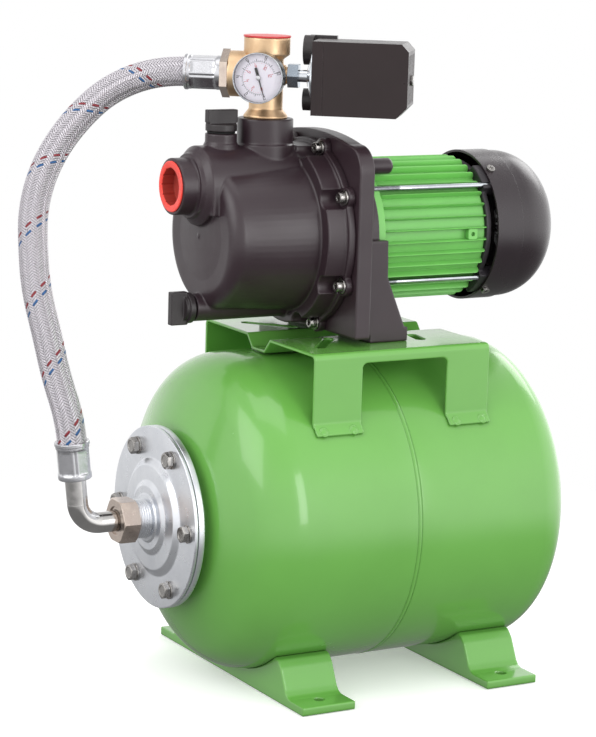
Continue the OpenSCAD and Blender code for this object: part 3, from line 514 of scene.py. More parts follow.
def stack(count, levels, **caps):
    """Lofts rings given as (radius, z)."""
    return loft([ring(count, radius, z) for radius, z in levels], **caps)


def hex_side(t, half_width):
    """Distance from the centre to the side of a hexagon in direction t."""
    t = (t + pi / 6) % (pi / 3) - pi / 6
    return half_width / cos(t)


def hex_head(width, height, dish=True):
    """Hexagon, width across flats, with chamfered corners and a dished top if asked."""
    half = width / 2

    def corner(t):
        return max(0.0, hex_side(t, half) - half * 0.985)

    def top(t):
        return height - corner(t) * 0.58

    def bottom(t):
        return corner(t) * 0.45

    def side(t):
        return hex_side(t, half)

    levels = [(half * 0.6, 0), (half * 0.97, 0), (lambda t: side(t) * 0.998, bottom),
              (side, lambda t: bottom(t) + 0.1), (side, lambda t: top(t) - 0.12),
              (lambda t: side(t) * 0.992, top), (half * 0.96, height)]
    if dish:
        levels += [(half * 0.74, height), (half * 0.66, height - 0.35),
                   (half * 0.2, height - 0.38)]
    return stack(72, levels)


def washer(outer, hole, thickness):
    return lathe(fillet([(0, hole), (0, outer, 0.2), (thickness, outer, 0.3),
                         (thickness, hole)], 3), 48)


def thread_rod(radius, start, end, pitch=1.25, depth=0.45, segments=24):
    """Rod with parallel ridges that stand for a thread."""
    root = radius - depth
    profile = [(start, 0.0), (start, root)]
    z = start
    while z < end - pitch:
        profile += [(z + pitch * 0.1, root), (z + pitch * 0.42, radius),
                    (z + pitch * 0.58, radius), (z + pitch * 0.9, root)]
        z += pitch
    profile += [(end, root), (end, 0.0)]
    return lathe(profile, segments, closed=False)


# ------------------------------------------------------------ placing helpers
def along_x(x, z, y=0.0, flip=False):
    """Local +Z becomes +X, or -X when flipped."""
    turn = Matrix.Rotation(-pi / 2 if flip else pi / 2, 4, "Y")
    return Matrix.Translation((SEAM + x, y, z)) @ turn


def around_x(x, axis_z, angle, radius, flip=False):
    """As along_x, off the axis by radius at an angle from the top, toward -Y."""
    return along_x(x, axis_z + cos(angle) * radius, -sin(angle) * radius, flip)


def raised(place, height):
    return place @ Matrix.Translation((0, 0, height))


def facing(origin, direction, twist):
    """Local +Z points along direction."""
    turn = Vector(direction).to_track_quat("Z", "Y").to_matrix().to_4x4()
    return Matrix.Translation(origin) @ turn @ Matrix.Rotation(twist, 4, "Z")


# ------------------------------------------------------------ pressure tank
SEAM_GAP = 1.9      # each shell starts this far from the seam; half the weld's width
WALL = 1.5


def dished_head(name, node, straight, knuckle_r, crown_r, hole_r, flip):
    """A drawn shell: step at the seam, straight wall, knuckle, crown, central hole."""

    def curve(inset):
        wall, knuckle, crown = TANK_R - inset, knuckle_r - inset, crown_r - inset
        offset = sqrt((crown - knuckle) ** 2 - (wall - knuckle) ** 2)
        meet = math.degrees(atan2(offset, wall - knuckle))
        points = []
        for i in range(23):
            t = radians(meet * i / 22)
            points.append((straight + knuckle * sin(t), wall - knuckle + knuckle * cos(t)))
        # crown arc, by its angle from the rim toward the axis
        last = math.degrees(math.acos(min(1, hole_r / crown)))
        for i in range(1, 31):
            t = radians(meet + (last - meet) * i / 30)
            points.append((straight - offset + crown * sin(t), crown * cos(t)))
        return points

    full = SEAM_GAP + 1.2
    outer = [(SEAM_GAP, TANK_R - 0.5), (SEAM_GAP + 0.6, TANK_R - 0.1)]
    outer += [(full + (straight - full) * i / 6, TANK_R) for i in range(6)] + curve(0)
    inner = [(SEAM_GAP, TANK_R - WALL), (SEAM_GAP + 2, TANK_R - WALL)] + curve(WALL)
    part = Part()
    part.add(lathe(outer + inner[::-1], 192), along_x(0, TANK_Z, flip=flip))
    part.build(name, "green_paint", replaces=node, angle=40)


def seam_weld():
    """Two toes and a finely rippled crown."""
    side = [(-SEAM_GAP, TANK_R - 1.9), (-SEAM_GAP, TANK_R - 0.55), (-1.35, TANK_R - 0.25),
            (-0.9, TANK_R + 0.12)]
    profile = side + [(0, TANK_R + 0.34)] + [(-x, r) for x, r in reversed(side)]

    def ripple(x, r, a):
        return r + (0.06 * sin(a * 190) if abs(x) < 1 and r > TANK_R else 0)

    part = Part()
    part.add(lathe(profile, 480, ripple=ripple), along_x(0, TANK_Z))
    part.build("seam_weld", "green_paint", replaces="weld_bead", angle=60)


# ------------------------------------------------------------ flange at the -X end
FLANGE_X = -178.7
FLANGE_R = 76.5


def flange_plate():
    """Disc with a raised hub and a ridged neck, facing -X."""
    profile = fillet([(-3.0, 40.0), (-3.0, FLANGE_R, 0.6), (0, FLANGE_R, 0.7), (0, 49.5, 3.0),
                      (4.1, 44.5, 3.0), (4.5, 31.5, 2.4), (7.0, 27.0, 1.8), (7.0, 20.8, 0.5),
                      (8.3, 19.4, 0.4), (8.5, 16.5)], 6)
    root, crest = 15.7, 16.5
    z = 8.6
    while z < 18.4:
        profile += [(z + 0.2, root), (z + 0.95, crest), (z + 1.2, crest), (z + 1.9, root)]
        z += 2.1
    profile += [(19.4, 15.6), (20, 15.0), (20, 12.0), (0, 12.0), (-1.4, 39.0)]
    part = Part()
    part.add(lathe(profile, 160), along_x(FLANGE_X, TANK_Z, flip=True))
    part.build("flange_plate_skin", "galvanised", replaces="flange_plate", angle=38)


def flange_ring():
    """Stepped ring on the +X side of the plate."""
    profile = fillet([(3.72, 55), (3.72, FLANGE_R, 0.6), (9.2, FLANGE_R, 0.9), (9.2, 62.0, 0.6),
                      (15.9, 62.0, 0.4), (15.9, 55)], 5)
    part = Part()
    part.add(lathe(profile, 160), along_x(FLANGE_X, TANK_Z))
    part.build("flange_ring_skin", "galvanised", replaces="tank_flange_ring", angle=38)


def flange_bolts(count=6, circle_r=63.5):
    part = Part()
    for i in range(count):
        place = around_x(FLANGE_X, TANK_Z, radians(360 // count * i + 90), circle_r, flip=True)
        place = place @ Matrix.Rotation(0.35 + i * 1.1, 4, "Z")
        part.add(washer(outer=7.6, hole=4.0, thickness=1.55), raised(place, 0.05))
        part.add(hex_head(width=12.5, height=5.4), raised(place, 1.6))
        part.add(thread_rod(radius=3.95, start=-9, end=1.7, segments=20), place)
    part.build("flange_bolt_set", "zinc_bolt", replaces="flange_bolts", angle=28)


# ------------------------------------------------------------ moulded and pressed CAD parts
SOFTENED = [    # node, voxel size, smoothing passes
    ("pump_casing", 0.7, 4),
    ("motor_bracket", 0.8, 4),
    ("left_foot", 0.85, 4),
    ("right_foot", 0.85, 4),
    ("saddle_bracket", 0.7, 2),
    ("priming_cap", 0.45, 5),
    ("drain_plug", 0.45, 5),
    ("five_way_fitting", 0.6, 5),
    ("rear_shield", 0.9, 3),
]


def soften(node, voxel, passes):
    """Gives soft edges by smoothing a fine voxel skin."""
    obj = frame["nodes"][node]
    skin = obj.modifiers.new("skin", "REMESH")
    skin.mode = "VOXEL"
    skin.voxel_size = voxel * MM * 1.0
    skin.use_smooth_shade = True
    soft = obj.modifiers.new("soft", "SMOOTH")
    soft.factor = 0.5
    soft.iterations = passes


# ------------------------------------------------------------ plug in the suction port
def suction_plug():
    """Rim with a collar, and a toothed recess with a flat floor, facing -X."""
    count = 240

    def tooth(t):
        return 15.3 + 0.75 * max(0.0, cos(t * 12)) ** 6

    place = along_x(0, SUCTION_Z, flip=True)
    rim = [(16.2, 156.0), (16.45, 156.3), (16.45, 168.05), (20.7, 168.05), (21.0, 168.3),
           (20.95, 169.0), (20.5, 169.38), (15.9, 169.38), (lambda t: tooth(t) + 0.1, 169.1),
           (tooth, 168.6)]
    recess = [(tooth, 168.6), (tooth, 158.3), (14.8, 158.0), (6.0, 158.0), (5.6, 158.6),
              (0.4, 158.7)]
    part = Part()
    part.add(stack(count, rim, cap_end=False), place)
    # the recess takes the darker red: painted shade
    part.add(stack(count, recess, cap_start=False), place, finish=1)
    part.build("suction_plug_skin", "orange_plug", "plug_inner", replaces="suction_plug",
               body="suction_plug_body", angle=40)


# ------------------------------------------------------------ screws, bolts and weld marks
def socket_head():
    """Knurled head with a hexagon socket."""

    def knurl(t):
        return 4.7 - 0.16 * (0.5 + 0.5 * cos(t * 32))

    return stack(96, [
        (2.0, 45.62), (4.3, 45.62), (4.6, 45.9), (knurl, 46.1), (knurl, 49.8), (4.5, 50.1),
        (4.15, 50.55), (2.75, 50.6), (lambda t: hex_side(t, 2.02), 50.3),
        (lambda t: hex_side(t, 1.98), 47.7), (0.3, 47.3)])


def casing_screws():
    """Eight screws that face -X on a circle about the motor axis, with washers."""
    screws, washers = Part(), Part()
    for side in (-1, 1):
        for degrees in (20, 62, 118, 160):
            angle = radians(side * degrees)
            place = around_x(0, MOTOR_Z, angle, 78, flip=True)
            place = place @ Matrix.Rotation(angle * 3, 4, "Z")
            screws.add(socket_head(), place)
            screws.add(thread_rod(radius=2.45, start=27.2, end=45.7, pitch=0.8, depth=0.3,
                                  segments=20), place)
            washers.add(washer(outer=6.6, hole=2.65, thickness=1.5), raised(place, 44.05))
    screws.build("casing_screw_set", "zinc_bolt", replaces="casing_screws", angle=28)
    washers.build("casing_washer_set", "zinc_bolt", replaces="casing_washers", angle=28)


def deck_bolts():
    """Two upright bolts with washers above the deck and nuts below it."""
    part = Part()
    for side in (-1, 1):
        place = Matrix.Translation((SEAM - 8, side * 52, 0))
        part.add(washer(outer=8, hole=4.0, thickness=1.55), raised(place, 306.03))
        part.add(hex_head(width=13, height=5.3), raised(place, 307.6))
        part.add(thread_rod(radius=3.95, start=284.5, end=307.7), place)
        part.add(hex_head(width=13, height=6.4, dish=False), raised(place, 284.95))
    part.build("deck_bolt_set", "zinc_bolt", replaces="foot_bolts", angle=28)


def saddle_weld_marks():
    """Spot weld marks on the saddle's flanges: a round dimple with a raised centre."""
    profile = [(-0.5, 0), (-0.5, 4.5), (0.12, 4.4), (0.42, 4.0), (0.42, 3.7), (0.1, 3.2),
               (0.08, 3.0), (0.34, 2.6), (0.5, 1.6), (0.52, 0)]
    part = Part()
    for degrees in (51.4, -44.2):
        for x in (-79, -51, 48.5, 74):
            place = (Matrix.Translation((SEAM + x, 0, TANK_Z))
                     @ Matrix.Rotation(radians(degrees), 4, "X"))
            part.add(lathe(profile, 32, closed=False), raised(place, 137.5))
    part.build("saddle_weld_marks", "green_paint", angle=50)


# ------------------------------------------------------------ motor housing
FINS = 36
FIN_TOP = 61.0
FIN_END_R = 4.5     # rounding of the fins' +X ends
ROD_CIRCLE_R = 60.2


def fin():
    """One fin standing along local Z: ramped at its -X end, rounded at its +X end."""
    stations = [    # x, height of the fin's top above the motor axis
        (1.8, 54.0), (1.8, 57.0), (2.6, 59.4), (3.6, FIN_TOP - 0.4),
        (5.0, FIN_TOP), (30, FIN_TOP), (60, FIN_TOP), (90, FIN_TOP)]
    for degrees in (0, 20, 40, 60, 78, 90):
        t = radians(degrees)
        stations.append((99.4 + FIN_END_R * sin(t), FIN_TOP - FIN_END_R + FIN_END_R * cos(t)))
    stations.append((103.9, 54.0))
    foot = 1.05     # half width at the foot
    sections = []
    for x, top in stations:
        tip = 0.45 if top > 58 else 0.7
        shoulder = max(53.0, top - 1.0)
        section = [(-foot, 52.6), (-tip - 0.1, shoulder), (-tip * 0.6, top - 0.25), (0, top),
                   (tip * 0.6, top - 0.25), (tip + 0.1, shoulder), (foot, 52.6)]
        sections.append([(x, y, z) for y, z in section])
    return loft(sections)


def rounded_square(width, corner, z):
    """Ring of 24 points; it is a circle when corner is half the width."""
    points = []
    reach = width / 2 - corner
    for x, y, start in ((reach, reach, 0), (-reach, reach, 90),
                        (-reach, -reach, 180), (reach, -reach, 270)):
        for k in range(6):
            t = radians(start + 90 * k / 5)
            points.append((x + corner * cos(t), y + corner * sin(t), z))
    return points


def motor_housing():
    """Finned tube with a collar at its -X end and a square boss on its -Y side."""
    bore = 52.0
    tube = [(-5, bore), (-5, 60.2), (1.6, 60.2), (2.4, 59.4), (2.6, 55.6), (3.2, 54.6),
            (103.2, 54.6), (104, 54.0), (104, bore)]
    part = Part()
    part.add(lathe(tube, 144), along_x(0, MOTOR_Z))
    axis = Matrix.Translation((SEAM, 0, MOTOR_Z))
    for i in range(FINS):
        part.add(fin(), axis @ Matrix.Rotation(radians((i + 0.5) * 360 / FINS), 4, "X"))
    hole_r = 1.9
    boss = [rounded_square(9.2, 1.2, -3), rounded_square(9.2, 1.2, 2.6),
            rounded_square(8.6, 1.2, 3.0), rounded_square(2 * hole_r, hole_r, 3.0),
            rounded_square(1.6 * hole_r, 0.8 * hole_r, 0.4)]
    part.add(loft(boss), Matrix.Translation((SEAM + 88.5, -57.2, MOTOR_Z))
             @ Matrix.Rotation(pi / 2, 4, "X"))
    part.build("motor_housing_skin", "motor_green", replaces="motor_housing", angle=34)


def tie_rods():
    """Four rods along the motor, threaded at the -X end."""
    part = Part()
    thread_end = 22
    shank = fillet([(thread_end, 0), (thread_end, 2.36, 0.2), (118, 2.36, 0.8), (119, 0.0)], 3)
    for degrees in (-49, 131, 49, 229):
        place = around_x(0, MOTOR_Z, radians(degrees), ROD_CIRCLE_R)
        part.add(thread_rod(radius=2.38, start=-17.4, end=thread_end, pitch=0.9, depth=0.3,
                            segments=20), place)
        part.add(lathe(shank, 28, closed=False), place)
    part.build("tie_rod_set", "zinc_rod", replaces="tie_rods", angle=30)


# ------------------------------------------------------------ hose centre line
HOSE_R = 12.2
FERRULE_LENGTH = 31.5
LEAN = radians(6.4)             # the hose leaves the elbow leaning toward -X
ELBOW_X, ELBOW_R = -228.5, 20.0
FERRULE_GAP = 36.7              # from the cross centre to the upper ferrule
START_DIR = Vector((-sin(LEAN), 0, cos(LEAN)))
END_DIR = Vector((cos(CROSS_TURN), sin(CROSS_TURN), 0))
ELBOW_END = Vector((ELBOW_X - ELBOW_R * cos(LEAN), 0, TANK_Z + ELBOW_R * (1 - sin(LEAN))))
FERRULE_LOW = ELBOW_END + 22 * START_DIR
HOSE_START = FERRULE_LOW + FERRULE_LENGTH * START_DIR
CROSS_CENTRE = Vector((CROSS.x - SEAM, 0, CROSS.z))
HOSE_END = CROSS_CENTRE - (FERRULE_GAP + FERRULE_LENGTH) * END_DIR
FROM_SEAM = Vector((SEAM, 0, 0))
WAYPOINTS = [
    HOSE_START,
    Vector((-264.5, 20, 285)),
    Vector((-268.8, 46, 352)),
    Vector((-256.5, 69, 413)),
    Vector((-224, 80, 462)),
    Vector((-180.5, 73, 499)),
    HOSE_END,
]


def way_direction(i):
    if i == 0:
        return START_DIR
    if i == len(WAYPOINTS) - 1:
        return END_DIR
    before, here, after = WAYPOINTS[i - 1:i + 2]
    return ((after - here).normalized() + (here - before).normalized()).normalized()


def biarc_controls(a, b, dir_a, dir_b):
    """The two control points of a pair of arcs with equal tangent lengths."""
    chord = b - a
    total = dir_a + dir_b
    k = 2 * (1 - dir_a.dot(dir_b))
    along = chord.dot(total)
    if k < 1e-5:        # the directions are nearly the same
        reach = chord.dot(chord) / (2 * along)
    else:
        reach = (sqrt(along ** 2 + k * chord.dot(chord)) - along) / k
    return a + reach * dir_a, b - reach * dir_b


def arc_points(a, direction, b):
    """Points about 1 mm apart on the arc from a, in direction, to b; b is left out."""
    chord = b - a
    off = chord - chord.dot(direction) * direction
    if off.length < 1e-6:       # straight
        count = max(2, int(chord.length))
        return [a + chord * (i / count) for i in range(count)]
    inward = off.normalized()
    radius = chord.dot(chord) / (2 * off.length)
    sweep = 2 * atan2(off.length, chord.dot(direction))
    count = max(2, int(radius * sweep))
    centre = a + radius * inward
    return [centre - inward * radius * cos(sweep * i / count)
            + direction * radius * sin(sweep * i / count) for i in range(count)]


def rough_path():
    """Runs from inside the lower ferrule, through the waypoints, into the upper one."""
    path = [FERRULE_LOW + START_DIR * s for s in (3.0, 10.0, 17.0, 24.0)]
    for i in range(len(WAYPOINTS) - 1):
        a, b = WAYPOINTS[i], WAYPOINTS[i + 1]
        first, second = biarc_controls(a, b, way_direction(i), way_direction(i + 1))
        joint = (first + second) / 2
        path += arc_points(a, way_direction(i), joint)
        path += arc_points(joint, (second - first).normalized(), b)
    return path + [HOSE_END + END_DIR * s for s in (0.0, 8.0, 16.0, 24.0, 29.0)]


def even_path(path, step=0.5):
    """Resamples the path at even spacing; returns its points and length."""
    reached = [0.0]
    for i in range(1, len(path)):
        reached.append(reached[-1] + (path[i] - path[i - 1]).length)
    length = reached[-1]
    count = int(length / step)
    points, j = [], 0
    for i in range(count + 1):
        s = length * i / count
        while j < len(reached) - 2 and reached[j + 1] < s:
            j += 1
        w = (s - reached[j]) / max(1e-9, reached[j + 1] - reached[j])
        points.append(path[j].lerp(path[j + 1], w))
    return points, length


def untwisted_frames(points):
    """Normals and binormals carried along the line without twist."""
    last = len(points) - 1
    tangents = [(points[min(i + 1, last)] - points[max(i - 1, 0)]).normalized()
                for i in range(last + 1)]
    normals = [Vector((0, 1, 0))]
    for tangent in tangents[1:]:
        normals.append((normals[-1] - tangent * normals[-1].dot(tangent)).normalized())
    normals[0] = (normals[0] - tangents[0] * normals[0].dot(tangents[0])).normalized()
    return normals, [t.cross(n) for t, n in zip(tangents, normals)]


LINE, HOSE_LENGTH = even_path(rough_path())
LINE_STEPS = len(LINE) - 1
NORMALS, BINORMALS = untwisted_frames(LINE)


def hose_point(s, angle, radius):
    """Point at length s along the hose, in world mm."""
    x = max(0.0, min(LINE_STEPS - 1e-6, s / HOSE_LENGTH * LINE_STEPS))
    i = int(x)
    w = x - i
    centre = LINE[i].lerp(LINE[i + 1], w)
    normal = NORMALS[i].lerp(NORMALS[i + 1], w).normalized()
    binormal = BINORMALS[i].lerp(BINORMALS[i + 1], w).normalized()
    return centre + (normal * cos(angle) + binormal * sin(angle)) * radius + FROM_SEAM


# ------------------------------------------------------------ hose
def hose_liner():
    """Dark tube under the braid, open at its ends."""

    def tube(radius):
        return [[hose_point(HOSE_LENGTH * i / LINE_STEPS, 2 * pi * k / 40, radius)
                 for k in range(40)] for i in range(0, LINE_STEPS + 1, 4)]

    outer, inner = tube(11.3), tube(8.2)
    part = Part()
    part.add(loft(outer + inner[::-1] + [outer[0]], cap_start=False, cap_end=False))
    part.build("hose_liner", "seal_rubber", angle=60)


STRANDS = 24                    # in each direction
TWIST_PITCH = 57.0              # length of one turn
CROSSING = TWIST_PITCH / (2 * STRANDS)
STRAND_HALF = 0.87              # half width of one ribbon
TRACERS = {18: 1, 21: 2}        # strand number: finish, in the positive direction only


def strand(direction, number):
    """Rings of one ribbon, and the height of each in the weave, 0 to 1."""
    steps = int(HOSE_LENGTH / CROSSING * (3))
    rings, lifts = [], []
    for k in range(steps + 1):
        s = HOSE_LENGTH * k / steps
        angle = direction * 2 * pi * s / TWIST_PITCH + 2 * pi * number / STRANDS
        # over three, under three
        phase = 2 * pi * (2 * number + direction * s / CROSSING - 1) / 6
        lift = max(-1, min(1, 1.7 * direction * cos(phase)))
        radius = 11.82 + 0.33 * lift
        lifts.append(0.5 + 0.5 * lift)
        # unit step across the ribbon, as lengths along and around the hose
        slope = 2 * pi * radius / TWIST_PITCH
        size = sqrt(1 + slope * slope)
        along, around = -direction * slope / size, 1 / size
        rings.append([hose_point(s + along * w, angle + around * w / radius, radius + rise)
                      for w, rise in ((-STRAND_HALF, -0.16), (-STRAND_HALF * 0.55, 0.08),
                                      (STRAND_HALF * 0.55, 0.08), (STRAND_HALF, -0.16))])
    return rings, lifts


def hose_braid():
    part = Part()
    lifts = []
    for direction in (1, -1):
        for number in range(STRANDS):
            rings, strand_lifts = strand(direction, number)
            lifts += strand_lifts
            part.add(loft(rings), finish=TRACERS.get(number, 0) if direction > 0 else 0)
    # no merging, so that the vertices stay in fours for the UVs
    obj = part.build("hose_braid_wires", "hose_braid", "tracer_red", "tracer_blue",
                     replaces="braided_hose", angle=70, merge=False, recalc=False)
    layer = obj.data.uv_layers.new(name="UVMap")
    across = (0.0, 0.28, 0.72, 1.0)
    corners = [0] * len(obj.data.loops)
    obj.data.loops.foreach_get("vertex_index", corners)
    flat = []
    for i in corners:
        flat += [across[i % 4], lifts[i // 4]]
    layer.data.foreach_set("uv", flat)


def ferrule(name, node, place, r):
    """Crimped sleeve: round at both ends, six pressed panels between them."""
    length = FERRULE_LENGTH

    def side(z, t):
        pressed = (min(1.0, max(0.0, (z - 4.2) / 1.3))
                   * min(1.0, max(0.0, (length - 5.2 - z) / 1.3)))
        pressed = pressed * pressed * (3 - 2 * pressed)
        u = (t + pi / 6) % (pi / 3) - pi / 6
        panel = min(r * 0.925 / cos(u), r * 0.995)
        groove = 0.75 * math.exp(-((abs(u) - pi / 6) / 0.07) ** 2)
        return r * (1 - pressed) + (panel - groove) * pressed

    def level(z, scale=1.0):
        return (lambda t: side(z, t) * scale, z)

    levels = [level(0.0, scale=0.965), level(0.35, scale=0.995)]
    levels += [level(z) for z in (1.2, 3.0, 4.2, 4.5, 4.8, 5.1, 5.5, 7, 10, 14, 18)]
    levels += [level(length - z) for z in (9, 6.6, 6.2, 5.8, 5.4, 5.0, 3.6)]
    # lip at the hose end, then back through the bore
    levels += [(r, length - 3.3), (r * 1.045, length - 2.8), (r * 1.045, length - 0.5),
               (r, length), (HOSE_R + 0.2, length), (HOSE_R + 0.15, length - 6),
               (HOSE_R + 0.15, 1.6), (9.0, 1.6), (9.0, 0.0)]
    part = Part()
    part.add(stack(128, levels + [levels[0]], cap_start=False, cap_end=False), place)
    part.build(name, "ferrule_steel", replaces=node, angle=30)


def ferrules():
    ferrule("ferrule_bottom_skin", "ferrule_bottom",
            facing(FERRULE_LOW + FROM_SEAM, START_DIR, radians(12)), r=13.9)
    ferrule("ferrule_top_skin", "ferrule_top",
            facing(CROSS_CENTRE - END_DIR * FERRULE_GAP + FROM_SEAM, -END_DIR, radians(22.5)),
            r=14.2)


# ------------------------------------------------------------ gauge
def gauge_place(depth):
    """X to the reader's right, Y up, Z toward the reader, at this depth from the cross."""
    return (Matrix.Translation(CROSS) @ Matrix.Rotation(CROSS_TURN, 4, "Z")
            @ Matrix.Translation((0, -depth, 0)) @ Matrix.Rotation(pi / 2, 4, "X"))


GAUGE = gauge_place(0)
DIAL_Z = 38.8
MARK_HEIGHT = 0.06
SCALE_START = radians(163)      # clockwise from the top, like all dial angles
SCALE_SWEEP = radians(270)
BLACK, RED = 1, 2               # finishes of the marks
# the digits on the dial, as letters of a seven-bar display
DIGITS = {"0": "abcdef", "1": "bc", "2": "abged", "4": "fgbc", "6": "afgedc", "8": "abcdefg"}
BARS = {        # bar ends, in half widths and half heights of the digit
    "a": ((-1, 1), (1, 1)), "b": ((1, 1), (1, 0)), "c": ((1, 0), (1, -1)),
    "d": ((-1, -1), (1, -1)), "e": ((-1, 0), (-1, -1)), "f": ((-1, 1), (-1, 0)),
    "g": ((-1, 0), (1, 0)),
}


def gauge_case():
    cup = fillet([(23.5, 0), (23.5, 18.5, 1.2), (25.0, 20.2, 1.0), (43.0, 20.4, 0.3),
                  (43.0, 19.9), (26, 19.9), (26, 0)], 4)
    bezel = fillet([(43.0, 19.92), (43.0, 20.6, 0.2), (44.5, 20.7, 0.3), (45.0, 20.45, 0.15),
                    (45.0, 20.1, 0.1), (44.3, 19.92)], 4)
    stem = [(12.6, 1.6), (12.6, 4.9), (19.2, 4.9), (19.2, 1.6)]
    part = Part()
    part.add(lathe(cup, 96, closed=False), GAUGE)
    part.add(lathe(bezel, 96), GAUGE, finish=1)
    part.add(stack(48, [(lambda t: hex_side(t, 6.9), z) for z in (19.1, 23.6)]), GAUGE)
    part.add(lathe(stem, 40), GAUGE)
    part.build("gauge_case_skin", "gauge_black", "zinc_rod", replaces="gauge_case")


def flat_mark(corners):
    """Raised printed mark on the dial."""
    return loft([[(x, y, z) for x, y in corners] for z in (DIAL_Z, DIAL_Z + MARK_HEIGHT)])


def tick(part, angle, inner, outer, width, finish):
    half = width / 2
    corners = [(-half, inner), (half, inner), (half, outer), (-half, outer)]
    part.add(flat_mark(corners), GAUGE @ Matrix.Rotation(-angle, 4, "Z"), finish)


def bar_corners(bar, centre_x, height):
    width, thickness = height * 0.52, height * 0.15
    (x0, y0), (x1, y1) = [(width / 2 * x, height / 2 * y) for x, y in BARS[bar]]
    ahead = Vector((x1 - x0, y1 - y0)).normalized() * thickness / 2
    across = Vector((-ahead.y, ahead.x))
    start = Vector((x0 + centre_x, y0)) - ahead
    end = Vector((x1 + centre_x, y1)) + ahead
    return [start + across, start - across, end - across, end + across]


def number(part, text, angle, radius, height, finish):
    """A number whose top points away from the dial's centre."""
    place = GAUGE @ Matrix.Rotation(-angle, 4, "Z") @ Matrix.Translation((0, radius, 0))
    for i, digit in enumerate(text):
        centre_x = (i - (len(text) - 1) / 2) * height * 0.78
        for bar in DIGITS[digit]:
            part.add(flat_mark(bar_corners(bar, centre_x, height)), place, finish)


def gauge_dial():
    """White disc with an outer black scale, an inner red one and a black arc between."""
    part = Part()
    disc = fillet([(38.0, 0), (38.0, 19.85, 0.1), (DIAL_Z, 19.85, 0.1), (DIAL_Z, 0)], 2)
    part.add(lathe(disc, 96, closed=False), GAUGE)
    for i in range(41):
        major = i % 4 == 0
        tick(part, SCALE_START + SCALE_SWEEP * i / 40, inner=13.4,
             outer=15.3 if major else 14.5, width=0.5 if major else 0.28, finish=BLACK)
    for i in range(31):
        major = i % 5 == 0
        tick(part, SCALE_START + SCALE_SWEEP * i / 30, inner=12.4 - (1.3 if major else 0.7),
             outer=12.4, width=0.46 if major else 0.24, finish=RED)
    for i in range(0, 11, 2):
        number(part, str(i), SCALE_START + SCALE_SWEEP * i / 10, radius=17.0, height=2.7,
               finish=BLACK)
    for i in range(7):
        number(part, str(i * 2), SCALE_START + SCALE_SWEEP * i / 6 + 0.02, radius=9.3,
               height=2.4, finish=RED)
    pieces = 120        # of the arc, each slightly overlapping the next
    for k in range(pieces):
        angle = SCALE_START + SCALE_SWEEP * k / pieces + SCALE_SWEEP / (2 * pieces)
        tick(part, angle, inner=13.1, outer=13.3, width=13.2 * SCALE_SWEEP / pieces * 1.02,
             finish=BLACK)
    part.build("gauge_dial_face", "gauge_white", "dial_black", "dial_red",
               replaces="gauge_dial", angle=30, merge=False)


def gauge_needle():
    """Needle at the start of the scale, on a turned hub."""
    outline = [(-0.32, 16.0), (0.32, 16.0), (0.62, 0.0), (1.15, -1.2), (1.25, -8.0),
               (0.8, -8.6), (-0.8, -8.6), (-1.25, -8.0), (-1.15, -1.2), (-0.62, 0.0)]
    hub = fillet([(-2.7, 0), (-2.7, 1.15), (0.35, 1.15), (0.4, 2.2, 0.2), (1.5, 2.0, 0.5),
                  (1.75, 0)], 4)
    part = Part()
    part.add(loft([[(x, y, -0.05) for x, y in outline], [(x, y, 0.22) for x, y in outline],
                   [(x * 0.8, y * 0.995, 0.42) for x, y in outline]]),
             gauge_place(40) @ Matrix.Rotation(-SCALE_START, 4, "Z"))
    part.add(lathe(hub, 32, closed=False), gauge_place(40), finish=1)
    part.build("gauge_needle_skin", "gauge_black", "ferrule_steel", replaces="gauge_needle",
               body="gauge_pointer", angle=30)


def gauge_lens():
    profile = fillet([(43.2, 0), (43.2, 19.7, 0.2), (44.3, 19.7, 0.4), (44.6, 15.0),
                      (44.75, 0)], 4)
    part = Part()
    part.add(lathe(profile, 96, closed=False), GAUGE)
    part.build("gauge_lens_skin", "gauge_glass", replaces="gauge_lens", angle=30)


# ------------------------------------------------------------ stage
VIEW_TARGET = Vector((SEAM - 44.19, 0, 262.27))
VIEW_DISTANCE = 2239.68
VIEW = Vector((0.48598, 0.85457, -0.18310)).normalized()
VIEW_UP = Vector((0.87155, -0.48944, 0.02894)).normalized().cross(VIEW).normalized()
VIEW_RIGHT = VIEW.cross(VIEW_UP).normalized()
LIGHT_AIM = Vector((0, 0, 0.25))        # metres

LIGHTS = [  # name, (away from the camera, to its right, up) from the aim, (size x, y), watts
    ("key_left", (-1.1, -1.5, 1.15), (1.4, 1.5), 14),
    ("top", (-0.2, 0.0, 1.9), (1.6, 1.2), 6),
    ("fill_right", (-1.5, 1.3, 0.5), (0.6, 1.2), 8),
    ("rim_back", (1.2, 0.9, 1.0), (0.9, 0.9), 6),
]


def floor_material():
    """White near the middle, fading to clear with distance."""
    m = Material("floor_white")
    place = m.coords()
    blend = m.remap(m.noise(place, scale=3, detail=3), NOISE_BAND, to=(0, 1))
    m.set(m.bsdf, {
        "Base Color": m.mix(blend, (0.93, 0.93, 0.93, 1), (0.95, 0.95, 0.95, 1)),
        "Roughness": 0.8, "Specular IOR Level": 0.1,
        "Emission Color": (1, 1, 1, 1), "Emission Strength": 0.30})
    distance = m.add("ShaderNodeVectorMath", {0: place}, operation="LENGTH").outputs["Value"]
    clear = m.add("ShaderNodeBsdfTransparent").outputs[0]
    fade = m.remap(distance, source=(0.30, 0.75), to=(0, 1))
    m.set(m.output, {"Surface": m.mix_shader(fade, m.bsdf.outputs[0], clear)})
    return m.material


def make_floor(half=6.0, z=-0.0006):
    """Square floor; sizes in metres."""
    mesh = bpy.data.meshes.new("floor")
    corners = [(-half, -half, z), (half, -half, z), (half, half, z), (-half, half, z)]
    mesh.from_pydata(corners, [], [[0, 1, 2, 3]])
    floor = link_object("floor", mesh)
    mesh.materials.append(floor_material())
    floor.visible_diffuse = False
    floor.visible_glossy = False


